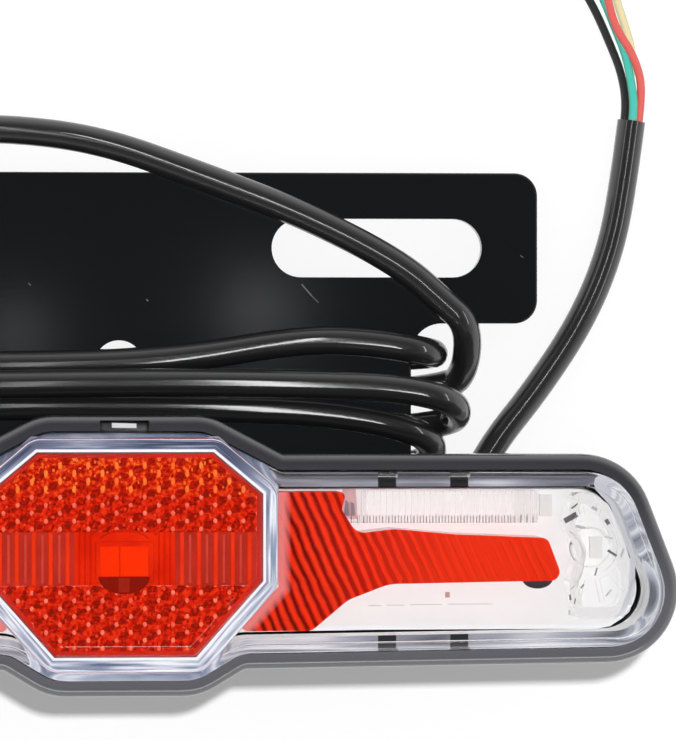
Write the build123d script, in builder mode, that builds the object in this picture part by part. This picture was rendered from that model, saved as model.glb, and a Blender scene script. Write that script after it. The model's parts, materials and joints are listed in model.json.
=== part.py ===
from build123d import *
import math
import os

os.makedirs("parts", exist_ok=True)

# Bicycle tail light with turn signals, on a slotted steel bracket, lying on its back.
# +Z points out of the lens, +Y from the light towards the bracket's arm, +X to the right.
# The origin is the middle of the two rack slots, on the bracket's back face. Millimetres.

# Bracket
plate_thickness = 2.0
arm_width = 109.0
arm_height = 19.6
arm_corner_radius = 3.0
slot_spacing = 67.0
slot_length = 27.4
slot_width = 7.6
neck_width = 76.0
neck_fillet_radius = 4.0
centre_hole_diameter = 6.4
centre_hole_drop = 15.2
tongue_overhang = 9.5
tongue_corner_radius = 5.0
plate_edge_radius = 0.4

# Place of the light on the bracket
light_drop = 39.1
bolt_spacing = 50.0

# Fasteners of the mounting
thread_diameter = 4.0
bolt_length = 12.0
bolt_protrusion = 0.6
head_across_flats = 7.0
head_height = 2.8
head_chamfer = 0.4
nut_height = 3.2
nut_chamfer = 0.4
washer_diameter = 9.0
washer_thickness = 0.8
spring_washer_diameter = 7.6
spring_washer_thickness = 1.0
spring_washer_split = 0.8
bolt_hole_clearance = 0.25
nut_bore_clearance = 0.02

# Outline of the lens, as half widths and rises from the light's centre line
bulge_top_half = 10.2
bulge_top_rise = 15.3
bulge_top_radius = 5.0
notch_half = 19.6
notch_radius = 1.2
wing_top_setback = 8.5
wing_rise = 10.4
wing_top_radius = 7.0
tip_half = 71.4
tip_drop = 11.6
tip_radius = 7.0
step_half = 14.6
step_drop = 12.4
step_radius = 4.0
bulge_bottom_half = 9.0
bulge_bottom_drop = 15.8
bulge_bottom_radius = 6.0
least_corner_radius = 0.3

# Rear housing
back_wall = 2.0
tray_wall = 1.2
tray_depth = 11.0
tray_back_inset = 1.6
tray_front_inset = 0.4
flange_overhang = 2.2
flange_height = 7.5
flange_top_radius = 1.3
ledge_depth = 6.5
rim_clearance = 0.25
bolt_boss_diameter = 13.0
bolt_boss_height = 4.6
head_pocket_clearance = 0.1

# Lens
gasket_thickness = 1.2
gasket_width = 1.8
gasket_side_clearance = 0.1
lens_height = 9.8
lens_face_thickness = 2.0
lens_skirt_thickness = 2.0
lens_edge_radius = 1.8
ridge_width = 2.0
ridge_height = 1.0
ridge_edge_radius = 0.6
seat_width = 1.1
seat_thickness = 1.0
latch_width = 6.2
latch_tongue_clearance = 0.3
latch_reach = 1.3
latch_height = 2.6
latch_top_gap = 0.3
snap_tooth_width = 2.2
snap_tooth_reach = 1.1
snap_tooth_height = 1.5
snap_tooth_rise = 1.6
snap_tooth_clearance = 0.15
snap_places = (33.4, 42.6)

# Centre reflector, an octagon
octagon_top_half = 11.0
octagon_top_gap = 2.6
octagon_side_half = 17.1
octagon_side_rise = 7.6
octagon_side_drop = 3.2
octagon_bottom_half = 8.8
octagon_bottom_gap = 3.2
octagon_corner_radius = 0.8
reflector_thickness = 2.4
reflector_clearance = 0.12
band_rise = 2.9
band_drop = 3.9
band_depth = 0.5
band_rib_pitch = 1.15
band_rib_width = 0.55
band_rib_count = 7
window_half = 4.3
window_edge_gap = 1.2

# Main board
board_thickness = 1.6
board_edge_gap = 2.15
board_boss_height = 6.0
board_boss_diameter = 4.8
board_screw_diameter = 2.0
board_screw_head_diameter = 3.4
board_screw_head_height = 1.3
board_screw_length = 6.0
screw_hole_clearance = 0.2
screw_pilot_clearance = 0.03
inner_screw_half = 21.8
inner_screw_drop = 6.6
outer_screw_share = 0.7165
outer_screw_drop = 0.7

# Red light guides
guide_height = 8.9
guide_roof = 2.0
guide_wall = 1.0
guide_root_half = 18.6
guide_tip_gap = 15.8
guide_corner_radius = 0.8
guide_rib_pitch = 1.25
guide_rib_width = 0.65
guide_rib_height = 0.5
guide_rib_angle = 64.0
guide_rib_count = 28
guide_rib_overlap = 0.3
# Each point is a share of the way from the guide's root to its tip, and a share of the wing's rise
guide_outline_shares = (
    (0.000, 0.755),
    (0.254, 0.755),
    (0.238, 0.540),
    (0.290, 0.250),
    (0.420, 0.303),
    (0.630, 0.236),
    (0.945, 0.192),
    (1.000, -0.327),
    (0.400, -0.365),
    (0.260, -0.558),
    (0.135, -0.932),
    (-0.130, -0.932),
    (0.000, -0.404),
)
guide_corner_shares = (1.0, 0.8, 1.2, 2.4, 6.0, 6.0, 1.4, 1.4, 8.0, 4.0, 2.0, 1.0, 2.0)

# Clear fluted light bars
bar_guide_gap = 0.702
bar_end_gap = 18.8
bar_low_rise = 3.85
bar_high_rise = 7.9
bar_height = 6.6
bar_flute_pitch = 0.8
bar_flute_depth = 0.35
bar_flute_width = 0.3
bar_foot_length = 2.4
bar_foot_height = 2.2

# Turn-signal optics in the wing tips
optic_height = 8.3
optic_wall = 1.4
optic_roof = 2.4
optic_width = 8.93
optic_tip_gap = 6.57
optic_corner_radius = 1.0
optic_centre_inset = 3.1
optic_centre_rise = 0.8
optic_lens_radius = 2.6
optic_lens_rise = 1.2
optic_lens_edge_radius = 0.5
optic_ring_pitch = 1.6
optic_ring_width = 0.7
optic_facet_count = 14
optic_facet_width = 0.6
optic_facet_length = 3.2
optic_facet_height = 0.5
# Each point is a share of the optic's width from its inner edge, and a share of the wing's rise
optic_outline_shares = (
    (0.000, 0.330),
    (0.128, 0.740),
    (0.376, 0.740),
    (0.616, 0.600),
    (0.792, 0.300),
    (0.960, -0.180),
    (1.000, -0.470),
    (0.920, -0.720),
    (0.776, -0.800),
    (0.144, -0.800),
    (0.056, -0.350),
    (0.176, 0.000),
)

# Parts on the board
led_length = 3.5
led_width = 2.8
led_height = 0.8
led_lens_height = 0.2
led_lens_margin = 0.5
tail_led_shares = (0.146, 0.362, 0.565, 0.868)
tail_led_rises = (1.6, -0.4, -0.5, -0.8)
turn_led_insets = (-1.6, 4.8)
turn_led_rises = (5.9, 0.5)
turn_led_length = 1.6
centre_led_size = 3.2
centre_led_width = 3.0
centre_led_height = 1.4
centre_led_gap = 0.5
centre_led_drop = 0.7
chip_length = 4.9
chip_width = 3.9
chip_height = 1.5
chip_place = (-9.4, 4.4)
chip_leg_length = 1.05
chip_leg_width = 0.42
chip_leg_thickness = 0.22
chip_leg_pitch = 1.27
chip_leg_count = 4
resistor_length = 3.2
resistor_width = 1.6
resistor_height = 0.6
resistor_spacing_x = 4.4
resistor_spacing_y = 2.4
resistor_columns = 3
resistor_rows = 2
resistor_edge_gap = 5.9
capacitor_diameter = 6.3
capacitor_height = 7.7
capacitor_groove_depth = 0.3
capacitor_groove_height = 0.8
capacitor_edge_radius = 0.4
capacitor_shift = -0.3
capacitor_edge_gap = 8.6
inductor_size = 6.0
inductor_height = 3.0
inductor_drum_diameter = 4.6
inductor_drum_height = 0.6
inductor_corner_radius = 0.8
inductor_place = (9.6, -4.6)
diode_length = 4.3
diode_width = 2.6
diode_height = 2.1
diode_edge_chamfer = 0.3
diode_places = ((10.0, 3.4), (-10.0, -4.0))

# Cable, its gland and its wires
cable_diameter = 3.7
gland_setback = 8.9
gland_pad_radius = 4.2
gland_pad_reach = 1.05
gland_hole_radius = 2.5
gland_neck_clearance = 0.1
gland_wall_gap = 0.5
gland_outer_flange_radius = 3.8
gland_outer_flange_thickness = 1.2
gland_inner_flange_radius = 2.85
gland_inner_flange_thickness = 1.0
gland_sleeve_radius = 2.9
gland_mouth_radius = 2.3
gland_sleeve_length = 8.0
gland_groove_count = 3
gland_groove_pitch = 2.0
gland_groove_width = 0.8
gland_groove_depth = 0.35
wire_diameter = 1.1
wire_tip_diameter = 0.7
wire_tip_length = 6.0
inner_lead_count = 4
inner_lead_spacing = 1.3
inner_lead_reach = 3.0
inner_lead_radius = 1.6
front_strand_gap = 0.25
wire_table_gap = 0.05
route_arc_share = 0.45
flip_arc_share = 0.49
path_sample_step = 0.8
path_least_apart = 9.0

cut_overrun = 1.0

# Heights worked out from the sizes above
table_level = -(washer_thickness + spring_washer_thickness + nut_height + bolt_protrusion)
housing_back_level = plate_thickness
floor_level = housing_back_level + back_wall
flange_level = housing_back_level + tray_depth
flange_top_level = flange_level + flange_height
ledge_level = flange_top_level - ledge_depth
board_level = floor_level + board_boss_height
board_top_level = board_level + board_thickness
skirt_level = ledge_level + gasket_thickness
face_top_level = skirt_level + lens_height
face_back_level = face_top_level - lens_face_thickness
ridge_top_level = face_top_level + ridge_height
seat_top_level = face_back_level
seat_level = seat_top_level - seat_thickness
bolt_seat_level = table_level + bolt_length
guide_top_level = board_top_level + guide_height
guide_rib_base_level = guide_top_level - guide_rib_overlap
bar_top_level = board_top_level + bar_height
optic_top_level = board_top_level + optic_height
gland_level = floor_level + gland_inner_flange_radius + gasket_side_clearance
bolt_radius = thread_diameter / 2
bolt_places = [(-bolt_spacing / 2, -light_drop), (bolt_spacing / 2, -light_drop)]
wing_top_half = tip_half - wing_top_setback
gland_half = wing_top_half - gland_setback
octagon_top_rise = bulge_top_rise - octagon_top_gap
octagon_bottom_drop = bulge_bottom_drop - octagon_bottom_gap
guide_tip_half = tip_half - guide_tip_gap
guide_span = guide_tip_half - guide_root_half
outer_screw_half = guide_root_half + outer_screw_share * guide_span
bar_start_half = guide_root_half + guide_outline_shares[1][0] * guide_span + bar_guide_gap
bar_end_half = tip_half - bar_end_gap
optic_inner_half = tip_half - optic_tip_gap - optic_width
optic_centre_half = optic_inner_half + optic_centre_inset
resistor_rise = bulge_top_rise - resistor_edge_gap
capacitor_drop = bulge_bottom_drop - capacitor_edge_gap
screw_places = [
    (side * half, -light_drop - drop)
    for side in (-1, 1)
    for half, drop in ((inner_screw_half, inner_screw_drop), (outer_screw_half, outer_screw_drop))
]


def mirrored_outline(right_corners):
    """Both halves of an outline from its right half, bottom to top, as (x, y, radius)."""
    left_corners = [(-x, y, radius) for x, y, radius in reversed(right_corners)]
    return list(right_corners) + left_corners


def inset_outline(corners, inset):
    """Points and corner radii of an anticlockwise outline, moved inwards by inset."""
    points = []
    radii = []
    count = len(corners)
    for index in range(count):
        before = Vector(*corners[index - 1][:2])
        here = Vector(*corners[index][:2])
        after = Vector(*corners[(index + 1) % count][:2])
        into = (here - before).normalized()
        out = (after - here).normalized()
        normal_in = Vector(-into.Y, into.X)
        normal_out = Vector(-out.Y, out.X)
        moved = here + (normal_in + normal_out) * (inset / (1 + normal_in.dot(normal_out)))
        convex = into.X * out.Y - into.Y * out.X > 0
        radius = corners[index][2] - inset if convex else corners[index][2] + inset
        points.append((moved.X, moved.Y))
        radii.append(max(radius, least_corner_radius))
    return points, radii


def outline_sketch(corners, inset, level):
    """A face of the outline, inset, on the light's centre line at a height."""
    points, radii = inset_outline(corners, inset)
    with BuildSketch(Plane((0, -light_drop, level))) as sketch:
        with BuildLine():
            FilletPolyline(*points, radius=radii, close=True)
        make_face()
    return sketch.sketch


lens_corners = mirrored_outline((
    (bulge_bottom_half, -bulge_bottom_drop, bulge_bottom_radius),
    (step_half, -step_drop, step_radius),
    (tip_half, -tip_drop, tip_radius),
    (wing_top_half, wing_rise, wing_top_radius),
    (notch_half, wing_rise, notch_radius),
    (bulge_top_half, bulge_top_rise, bulge_top_radius),
))
octagon_corners = mirrored_outline((
    (octagon_bottom_half, -octagon_bottom_drop, octagon_corner_radius),
    (octagon_side_half, -octagon_side_drop, octagon_corner_radius),
    (octagon_side_half, octagon_side_rise, octagon_corner_radius),
    (octagon_top_half, octagon_top_rise, octagon_corner_radius),
))
guide_corners = [
    (guide_root_half + along * guide_span, up * wing_rise, scale * guide_corner_radius)
    for (along, up), scale in zip(guide_outline_shares, guide_corner_shares)
][::-1]
optic_corners = [
    (optic_inner_half + out * optic_width, up * wing_rise, optic_corner_radius)
    for out, up in optic_outline_shares
][::-1]


# Bracket: an arm with two slots, a neck, and a tongue behind the housing
tongue_bottom = light_drop + tongue_overhang
with BuildPart() as bracket:
    with BuildSketch():
        with Locations((0, -tongue_bottom / 2)):
            Rectangle(neck_width, tongue_bottom)
        fillet(vertices().group_by(Axis.Y)[0], tongue_corner_radius)
        with Locations((0, 0)):
            Rectangle(arm_width, arm_height)
        fillet(vertices().filter_by(lambda v: abs(v.X) > neck_width / 2 + plate_thickness), arm_corner_radius)
        inner_corners = vertices().filter_by(
            lambda v: abs(abs(v.X) - neck_width / 2) < plate_thickness / 2
            and abs(v.Y + arm_height / 2) < plate_thickness / 2
        )
        fillet(inner_corners, neck_fillet_radius)
        with GridLocations(slot_spacing, 0, 2, 1):
            SlotOverall(slot_length, slot_width, mode=Mode.SUBTRACT)
        with Locations((0, -centre_hole_drop)):
            Circle(centre_hole_diameter / 2, mode=Mode.SUBTRACT)
        with Locations(*bolt_places):
            Circle(bolt_radius + bolt_hole_clearance, mode=Mode.SUBTRACT)
    extrude(amount=plate_thickness)
    plate_faces = faces().filter_by(Axis.Z).sort_by(Axis.Z)
    fillet(plate_faces[-1].outer_wire().edges() + plate_faces[0].outer_wire().edges(), plate_edge_radius)
bracket.part.label = "bracket"
export_step(bracket.part, "parts/bracket.step")

# Mounting bolts: hexagon heads held in the housing, points down through the bracket
with BuildPart() as mounting_bolts:
    with BuildSketch(Plane.XY.offset(bolt_seat_level)):
        with Locations(*bolt_places):
            RegularPolygon(head_across_flats / 2, 6, major_radius=False)
    extrude(amount=head_height)
    chamfer(faces().filter_by(Axis.Z).group_by(Axis.Z)[-1].edges(), head_chamfer)
    with BuildSketch(Plane.XY.offset(table_level)):
        with Locations(*bolt_places):
            Circle(bolt_radius)
    extrude(amount=bolt_length)
    chamfer(faces().filter_by(Axis.Z).group_by(Axis.Z)[0].edges(), head_chamfer)
mounting_bolts.part.label = "mounting_bolts"
export_step(mounting_bolts.part, "parts/mounting_bolts.step")

with BuildPart() as flat_washers:
    with BuildSketch(Plane.XY.offset(-washer_thickness)):
        with Locations(*bolt_places):
            Circle(washer_diameter / 2)
            Circle(bolt_radius + bolt_hole_clearance, mode=Mode.SUBTRACT)
    extrude(amount=washer_thickness)
flat_washers.part.label = "flat_washers"
export_step(flat_washers.part, "parts/flat_washers.step")

with BuildPart() as spring_washers:
    with BuildSketch(Plane.XY.offset(-washer_thickness - spring_washer_thickness)):
        with Locations(*bolt_places):
            Circle(spring_washer_diameter / 2)
            Circle(bolt_radius + bolt_hole_clearance, mode=Mode.SUBTRACT)
        with Locations(*[(x + spring_washer_diameter / 2, y) for x, y in bolt_places]):
            Rectangle(spring_washer_diameter, spring_washer_split, mode=Mode.SUBTRACT)
    extrude(amount=spring_washer_thickness)
spring_washers.part.label = "spring_washers"
export_step(spring_washers.part, "parts/spring_washers.step")

with BuildPart() as mounting_nuts:
    with BuildSketch(Plane.XY.offset(table_level + bolt_protrusion)):
        with Locations(*bolt_places):
            RegularPolygon(head_across_flats / 2, 6, major_radius=False)
    extrude(amount=nut_height)
    chamfer(faces().filter_by(Axis.Z).edges(), nut_chamfer)
    with BuildSketch(Plane.XY.offset(table_level)):
        with Locations(*bolt_places):
            Circle(bolt_radius + nut_bore_clearance)
    extrude(amount=bolt_protrusion + nut_height, mode=Mode.SUBTRACT)
mounting_nuts.part.label = "mounting_nuts"
export_step(mounting_nuts.part, "parts/mounting_nuts.step")

# Rear housing: a drafted tray with a wide flange, whose lip stands round the lens
tray_inner_inset = tray_front_inset + tray_wall
gland_seat = -light_drop + wing_rise - tray_back_inset + gland_pad_reach
gland_place = (-gland_half, gland_seat, gland_level)
gland_plane = Plane(origin=gland_place, x_dir=(1, 0, 0), z_dir=(0, 1, 0))
latch_line = -light_drop + bulge_top_rise
snap_level = skirt_level + snap_tooth_rise
snap_spots = [
    (side * along, rise)
    for side in (-1, 1)
    for along in snap_places
    for rise in (
        wing_rise,
        -step_drop + (along - step_half) * (step_drop - tip_drop) / (tip_half - step_half),
    )
]


def snap_blocks(clearance):
    """Sketch of the snap teeth seen from the front, grown by a clearance."""
    width = snap_tooth_width + 2 * clearance
    depth = 2 * (snap_tooth_reach + clearance)
    with BuildSketch(Plane((0, -light_drop, snap_level - clearance))) as blocks:
        with Locations(*snap_spots):
            Rectangle(width, depth)
    return blocks.sketch


with BuildPart() as rear_housing:
    tray_outside = (
        outline_sketch(lens_corners, tray_back_inset, housing_back_level),
        outline_sketch(lens_corners, tray_front_inset, flange_level),
    )
    loft(tray_outside, ruled=True)
    extrude(outline_sketch(lens_corners, -flange_overhang, flange_level), amount=flange_height)
    fillet(faces().sort_by(Axis.Z)[-1].edges(), flange_top_radius)
    with BuildSketch(gland_plane):
        Circle(gland_pad_radius)
    extrude(amount=-tray_wall - gland_pad_reach)
    tray_inside = (
        outline_sketch(lens_corners, tray_inner_inset + tray_back_inset / 2, floor_level),
        outline_sketch(lens_corners, tray_inner_inset, ledge_level),
    )
    loft(tray_inside, ruled=True, mode=Mode.SUBTRACT)
    lens_seat = outline_sketch(lens_corners, -rim_clearance, ledge_level)
    extrude(lens_seat, amount=ledge_depth + cut_overrun, mode=Mode.SUBTRACT)
    extrude(snap_blocks(0), amount=snap_tooth_height)
    with BuildSketch(Plane((0, latch_line, flange_top_level - latch_height))):
        Rectangle(latch_width, 2 * (latch_reach + latch_tongue_clearance))
    extrude(amount=latch_height + cut_overrun, mode=Mode.SUBTRACT)
    with BuildSketch(Plane.XY.offset(floor_level)):
        with Locations(*bolt_places):
            Circle(bolt_boss_diameter / 2)
    extrude(amount=bolt_boss_height)
    with BuildSketch(Plane.XY.offset(bolt_seat_level)):
        with Locations(*bolt_places):
            RegularPolygon(head_across_flats / 2 + head_pocket_clearance, 6, major_radius=False)
    extrude(amount=head_height + cut_overrun, mode=Mode.SUBTRACT)
    with BuildSketch(Plane.XY.offset(housing_back_level - cut_overrun)):
        with Locations(*bolt_places):
            Circle(bolt_radius + bolt_hole_clearance)
    extrude(amount=bolt_seat_level - housing_back_level + 2 * cut_overrun, mode=Mode.SUBTRACT)
    with BuildSketch(Plane.XY.offset(floor_level)):
        with Locations(*screw_places):
            Circle(board_boss_diameter / 2)
    extrude(amount=board_boss_height)
    with BuildSketch(Plane.XY.offset(floor_level)):
        with Locations(*screw_places):
            Circle(board_screw_diameter / 2 + screw_pilot_clearance)
    extrude(amount=board_boss_height, mode=Mode.SUBTRACT)
    with BuildSketch(gland_plane.offset(cut_overrun)):
        Circle(gland_hole_radius)
    extrude(amount=-gland_pad_reach - 2 * tray_wall - cut_overrun, mode=Mode.SUBTRACT)
rear_housing.part.label = "rear_housing"
export_step(rear_housing.part, "parts/rear_housing.step")

# Gasket between the ledge and the lens skirt
with BuildPart() as lens_gasket:
    extrude(outline_sketch(lens_corners, gasket_side_clearance, ledge_level), amount=gasket_thickness)
    gasket_hole = outline_sketch(lens_corners, gasket_side_clearance + gasket_width, ledge_level)
    extrude(gasket_hole, amount=gasket_thickness, mode=Mode.SUBTRACT)
lens_gasket.part.label = "lens_gasket"
export_step(lens_gasket.part, "parts/lens_gasket.step")

# Front lens: a clear cap with a skirt, a raised octagonal ridge round the reflector's window,
# pockets for the snap teeth and a latch tongue at the top
with BuildPart() as front_lens:
    extrude(outline_sketch(lens_corners, 0, skirt_level), amount=lens_height)
    fillet(faces().sort_by(Axis.Z)[-1].edges(), lens_edge_radius)
    lens_hollow = outline_sketch(lens_corners, lens_skirt_thickness, skirt_level)
    extrude(lens_hollow, amount=lens_height - lens_face_thickness, mode=Mode.SUBTRACT)
    extrude(outline_sketch(octagon_corners, -ridge_width, seat_level), amount=ridge_top_level - seat_level)
    window = outline_sketch(octagon_corners, 0, seat_top_level)
    extrude(window, amount=ridge_top_level - seat_top_level + cut_overrun, mode=Mode.SUBTRACT)
    fillet(faces().sort_by(Axis.Z)[-1].outer_wire().edges(), ridge_edge_radius)
    seat_opening = outline_sketch(octagon_corners, seat_width, seat_level)
    extrude(seat_opening, amount=seat_thickness + cut_overrun, mode=Mode.SUBTRACT)
    snap_pockets = snap_blocks(snap_tooth_clearance)
    extrude(snap_pockets, amount=snap_tooth_height + 2 * snap_tooth_clearance, mode=Mode.SUBTRACT)
    with BuildSketch(Plane((0, latch_line, flange_top_level - latch_height + latch_top_gap))):
        with Locations((0, latch_reach / 2 - latch_tongue_clearance)):
            Rectangle(latch_width - 2 * latch_tongue_clearance, latch_reach)
    extrude(amount=latch_height - 2 * latch_top_gap)
front_lens.part.label = "front_lens"
export_step(front_lens.part, "parts/front_lens.step")

# Centre reflector: a red octagon in the lens window, with ribbed bands beside a plain centre window
band_height = band_rise + band_drop
band_middle = (band_rise - band_drop) / 2
with BuildPart() as centre_reflector:
    extrude(outline_sketch(octagon_corners, reflector_clearance, seat_top_level), amount=reflector_thickness)
    band_length = octagon_side_half - window_half - 2 * window_edge_gap
    band_centre = window_half + window_edge_gap + band_length / 2
    with BuildSketch(Plane((0, -light_drop + band_middle, seat_top_level + reflector_thickness))):
        with Locations((-band_centre, 0), (band_centre, 0)):
            Rectangle(band_length, band_height)
        Rectangle(2 * window_half, band_height)
    extrude(amount=-band_depth, mode=Mode.SUBTRACT)
    with BuildSketch(Plane((0, -light_drop + band_middle, seat_top_level + reflector_thickness))):
        with Locations((-band_centre, 0), (band_centre, 0)):
            with GridLocations(band_rib_pitch, 0, band_rib_count, 1):
                Rectangle(band_rib_width, band_height)
    extrude(amount=-2 * band_depth)
centre_reflector.part.label = "centre_reflector"
export_step(centre_reflector.part, "parts/centre_reflector.step")

# Main board on the housing's bosses, and its screws
with BuildPart() as main_board:
    extrude(outline_sketch(lens_corners, board_edge_gap, board_level), amount=board_thickness)
    with BuildSketch(Plane.XY.offset(board_level)):
        with Locations(*screw_places):
            Circle(board_screw_diameter / 2 + screw_hole_clearance)
    extrude(amount=board_thickness, mode=Mode.SUBTRACT)
main_board.part.label = "main_board"
export_step(main_board.part, "parts/main_board.step")

with BuildPart() as board_screws:
    with BuildSketch(Plane.XY.offset(board_top_level)):
        with Locations(*screw_places):
            Circle(board_screw_head_diameter / 2)
    extrude(amount=board_screw_head_height)
    fillet(faces().filter_by(Axis.Z).group_by(Axis.Z)[-1].edges(), board_screw_head_height / 2)
    with BuildSketch(Plane.XY.offset(board_top_level)):
        with Locations(*screw_places):
            Circle(board_screw_diameter / 2)
    extrude(amount=-board_screw_length)
board_screws.part.label = "board_screws"
export_step(board_screws.part, "parts/board_screws.step")

# Red light guides: hollow hoods with slanting ribs on the roof, standing on the board
rib_places = [(guide_root_half + index * guide_rib_pitch, 0) for index in range(guide_rib_count)]
rib_edge_points, rib_edge_radii = inset_outline(guide_corners, guide_wall / 2)
with BuildSketch(Plane((0, -light_drop, guide_rib_base_level))) as guide_ribs:
    with Locations(*rib_places):
        Rectangle(guide_span, guide_rib_width, rotation=-guide_rib_angle)
    with BuildLine():
        FilletPolyline(*rib_edge_points, radius=rib_edge_radii, close=True)
    make_face(mode=Mode.INTERSECT)
with BuildPart() as light_guide_right:
    extrude(outline_sketch(guide_corners, 0, board_top_level), amount=guide_height)
    guide_hollow = outline_sketch(guide_corners, guide_wall, board_top_level)
    extrude(guide_hollow, amount=guide_height - guide_roof, mode=Mode.SUBTRACT)
    extrude(guide_ribs.sketch, amount=guide_rib_overlap + guide_rib_height)
light_guide_right.part.label = "light_guide_right"
export_step(light_guide_right.part, "parts/light_guide_right.step")

with BuildPart() as light_guide_left:
    mirror(light_guide_right.part, about=Plane.YZ)
light_guide_left.part.label = "light_guide_left"
export_step(light_guide_left.part, "parts/light_guide_left.step")

# Clear light bars: fluted on top, with a foot under each end
bar_length = bar_end_half - bar_start_half
bar_middle = (bar_end_half + bar_start_half) / 2
bar_rise = (bar_high_rise + bar_low_rise) / 2
bar_width = bar_high_rise - bar_low_rise
flute_count = int(bar_length / bar_flute_pitch)
with BuildPart() as light_bar_right:
    with BuildSketch(Plane((bar_middle, -light_drop + bar_rise, board_top_level + bar_foot_height))):
        Rectangle(bar_length, bar_width)
    extrude(amount=bar_height - bar_foot_height)
    with BuildSketch(Plane((bar_middle, -light_drop + bar_rise, bar_top_level))):
        with GridLocations(bar_flute_pitch, 0, flute_count, 1):
            Rectangle(bar_flute_width, bar_width)
    extrude(amount=-bar_flute_depth, mode=Mode.SUBTRACT)
    with BuildSketch(Plane((bar_middle, -light_drop + bar_rise, board_top_level))):
        with GridLocations(bar_length - bar_foot_length, 0, 2, 1):
            Rectangle(bar_foot_length, bar_width)
    extrude(amount=bar_foot_height)
light_bar_right.part.label = "light_bar_right"
export_step(light_bar_right.part, "parts/light_bar_right.step")

with BuildPart() as light_bar_left:
    mirror(light_bar_right.part, about=Plane.YZ)
light_bar_left.part.label = "light_bar_left"
export_step(light_bar_left.part, "parts/light_bar_left.step")

# Turn-signal optics: clear hoods with a round lens, rings and a fan of facets over the tip LED
facet_reach = optic_lens_radius + optic_ring_pitch + (optic_facet_length - optic_ring_width) / 2
fan_edge_points, fan_edge_radii = inset_outline(optic_corners, optic_wall / 2)
with BuildSketch(Plane((0, -light_drop, optic_top_level))) as optic_fan:
    with Locations((optic_centre_half, optic_centre_rise)):
        with PolarLocations(facet_reach, optic_facet_count):
            Rectangle(optic_facet_length, optic_facet_width)
        Circle(optic_lens_radius + optic_ring_pitch)
        Circle(optic_lens_radius + optic_ring_pitch - optic_ring_width, mode=Mode.SUBTRACT)
    with BuildLine():
        FilletPolyline(*fan_edge_points, radius=fan_edge_radii, close=True)
    make_face(mode=Mode.INTERSECT)
with BuildPart() as turn_optic_right:
    extrude(outline_sketch(optic_corners, 0, board_top_level), amount=optic_height)
    optic_hollow = outline_sketch(optic_corners, optic_wall, board_top_level)
    extrude(optic_hollow, amount=optic_height - optic_roof, mode=Mode.SUBTRACT)
    extrude(optic_fan.sketch, amount=optic_facet_height)
    with BuildSketch(Plane((optic_centre_half, -light_drop + optic_centre_rise, optic_top_level))):
        Circle(optic_lens_radius)
    extrude(amount=optic_lens_rise)
    fillet(faces().sort_by(Axis.Z)[-1].edges(), optic_lens_edge_radius)
turn_optic_right.part.label = "turn_optic_right"
export_step(turn_optic_right.part, "parts/turn_optic_right.step")

with BuildPart() as turn_optic_left:
    mirror(turn_optic_right.part, about=Plane.YZ)
turn_optic_left.part.label = "turn_optic_left"
export_step(turn_optic_left.part, "parts/turn_optic_left.step")


def on_both_wings(places):
    """Places on the right wing and their mirror images, measured from the bracket's slot line."""
    return [(side * x, y - light_drop) for side in (-1, 1) for x, y in places]


# LEDs
tail_led_places = [
    (guide_root_half + along * guide_span, rise)
    for along, rise in zip(tail_led_shares, tail_led_rises)
]
turn_led_places = [
    (optic_inner_half + inset, rise)
    for inset, rise in zip(turn_led_insets, turn_led_rises)
]
with BuildPart() as tail_leds:
    with BuildSketch(Plane.XY.offset(board_top_level)):
        with Locations(*on_both_wings(tail_led_places)):
            Rectangle(led_length, led_width)
    extrude(amount=led_height)
    with BuildSketch(Plane.XY.offset(board_top_level + led_height)):
        with Locations(*on_both_wings(tail_led_places)):
            Rectangle(led_length - 2 * led_lens_margin, led_width - 2 * led_lens_margin)
    extrude(amount=led_lens_height)
tail_leds.part.label = "tail_leds"
export_step(tail_leds.part, "parts/tail_leds.step")

with BuildPart() as turn_leds:
    with BuildSketch(Plane.XY.offset(board_top_level)):
        with Locations(*on_both_wings(turn_led_places)):
            Rectangle(turn_led_length, led_width)
    extrude(amount=led_height)
turn_leds.part.label = "turn_leds"
export_step(turn_leds.part, "parts/turn_leds.step")

centre_led_step = centre_led_width + centre_led_gap
with BuildPart() as centre_leds:
    with BuildSketch(Plane((0, -light_drop - centre_led_drop, board_top_level))):
        with GridLocations(centre_led_step, 0, 2, 1):
            Rectangle(centre_led_width, centre_led_size)
    extrude(amount=centre_led_height)
    with BuildSketch(Plane((0, -light_drop - centre_led_drop, board_top_level + centre_led_height))):
        with GridLocations(centre_led_step, 0, 2, 1):
            Circle(centre_led_width / 2 - led_lens_margin)
    extrude(amount=led_lens_height)
centre_leds.part.label = "centre_leds"
export_step(centre_leds.part, "parts/centre_leds.step")

# Driver chip with its legs, resistors, capacitor, inductor and diodes
chip_x, chip_y = chip_place
with BuildPart() as driver_chip:
    with BuildSketch(Plane((chip_x, chip_y - light_drop, board_top_level))):
        Rectangle(chip_length, chip_width)
    extrude(amount=chip_height)
    with BuildSketch(Plane((chip_x, chip_y - light_drop, board_top_level))):
        with GridLocations(chip_leg_pitch, 0, chip_leg_count, 1):
            Rectangle(chip_leg_width, chip_width + 2 * chip_leg_length)
    extrude(amount=chip_leg_thickness)
driver_chip.part.label = "driver_chip"
export_step(driver_chip.part, "parts/driver_chip.step")

with BuildPart() as resistors:
    with BuildSketch(Plane((0, resistor_rise - light_drop, board_top_level))):
        with GridLocations(resistor_spacing_x, resistor_spacing_y, resistor_columns, resistor_rows):
            Rectangle(resistor_length, resistor_width)
    extrude(amount=resistor_height)
resistors.part.label = "resistors"
export_step(resistors.part, "parts/resistors.step")

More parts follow.
